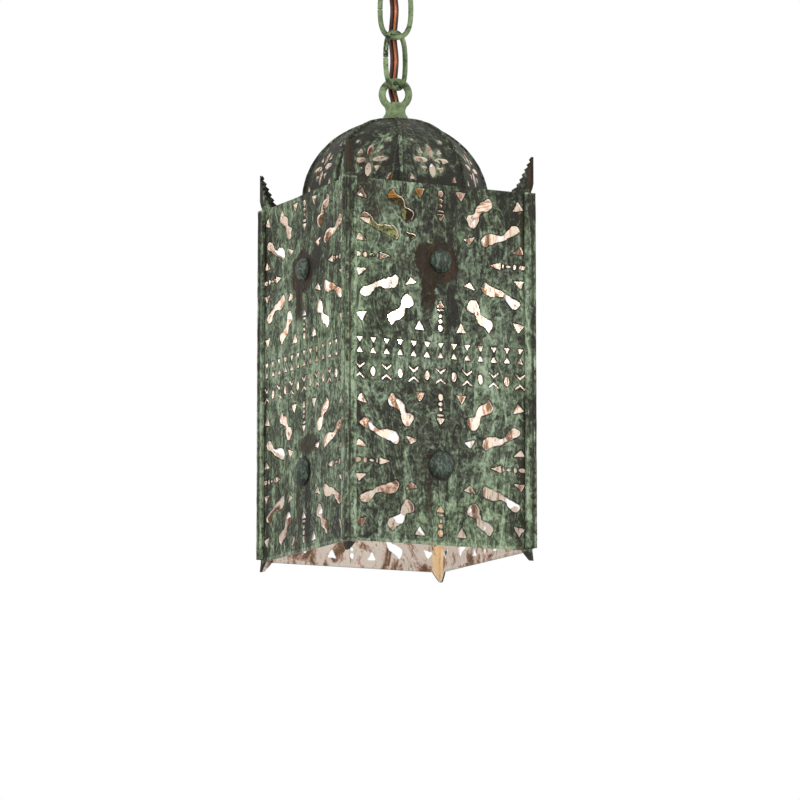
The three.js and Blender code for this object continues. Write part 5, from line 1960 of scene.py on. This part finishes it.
class LANTERN_OT_dome(bpy.types.Operator):
    """Pierce the gores and raise the seams between them"""

    bl_idname = "lantern.dome"
    bl_label = "Dome"

    def execute(self, context):
        return counted(build_dome, context.scene.lantern_sizes)


class LANTERN_OT_strips(bpy.types.Operator):
    """Fit the corner strips"""

    bl_idname = "lantern.strips"
    bl_label = "Corner strips"

    def execute(self, context):
        return counted(build_strips)


class LANTERN_OT_bosses(bpy.types.Operator):
    """Set a boss in the middle of each medallion"""

    bl_idname = "lantern.bosses"
    bl_label = "Bosses"

    def execute(self, context):
        return counted(build_bosses, context.scene.lantern_sizes)


class LANTERN_OT_socket(bpy.types.Operator):
    """Hang the socket under the dome"""

    bl_idname = "lantern.socket"
    bl_label = "Socket"

    def execute(self, context):
        return counted(build_socket)


class LANTERN_OT_bulb(bpy.types.Operator):
    """Screw in the bulb and light it"""

    bl_idname = "lantern.bulb"
    bl_label = "Bulb"

    def execute(self, context):
        return counted(build_bulb, context.scene.lantern_studio)


class LANTERN_OT_plate(bpy.types.Operator):
    """Finish the roof plate, which keeps its own mesh"""

    bl_idname = "lantern.plate"
    bl_label = "Roof plate"

    def execute(self, context):
        frame["nodes"]["roof_plate"].material_slots[0].material = FINISHES["roof"]
        return {"FINISHED"}


class LANTERN_OT_studio(bpy.types.Operator):
    """Set the floor, the lamps and the surrounding light"""

    bl_idname = "lantern.studio"
    bl_label = "Studio"

    def execute(self, context):
        return counted(set_studio, context.scene.lantern_studio)


OPERATORS = (
    LANTERN_OT_camera,
    LANTERN_OT_cords,
    LANTERN_OT_links,
    LANTERN_OT_loops,
    LANTERN_OT_ceiling,
    LANTERN_OT_panels,
    LANTERN_OT_dome,
    LANTERN_OT_strips,
    LANTERN_OT_bosses,
    LANTERN_OT_socket,
    LANTERN_OT_bulb,
    LANTERN_OT_plate,
    LANTERN_OT_studio,
)


class LANTERN_PT_panel(bpy.types.Panel):
    """The operators and what they read"""

    bl_idname = "LANTERN_PT_panel"
    bl_label = "Lantern"
    bl_space_type = "VIEW_3D"
    bl_region_type = "UI"
    bl_category = "Lantern"

    def draw(self, context):
        for operator in OPERATORS:
            self.layout.operator(operator.bl_idname)
        for name in ("lantern_sizes", "lantern_colours", "lantern_studio"):
            group = getattr(context.scene, name)
            box = self.layout.box()
            for key in keys_of(group):
                box.prop(group, key)


CLASSES = (LanternSizes, LanternColours, LanternStudio, *OPERATORS, LANTERN_PT_panel)


def register():
    for item in CLASSES:
        bpy.utils.register_class(item)
    bpy.types.Scene.lantern_sizes = bpy.props.PointerProperty(type=LanternSizes)
    bpy.types.Scene.lantern_colours = bpy.props.PointerProperty(type=LanternColours)
    bpy.types.Scene.lantern_studio = bpy.props.PointerProperty(type=LanternStudio)


def unregister():
    del bpy.types.Scene.lantern_studio
    del bpy.types.Scene.lantern_colours
    del bpy.types.Scene.lantern_sizes
    for item in reversed(CLASSES):
        bpy.utils.unregister_class(item)


def main():
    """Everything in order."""
    register()
    for operator in OPERATORS:
        group, name = operator.bl_idname.split(".")
        getattr(getattr(bpy.ops, group), name)()
    bpy.context.view_layer.update()


if __name__ == "__main__":
    main()
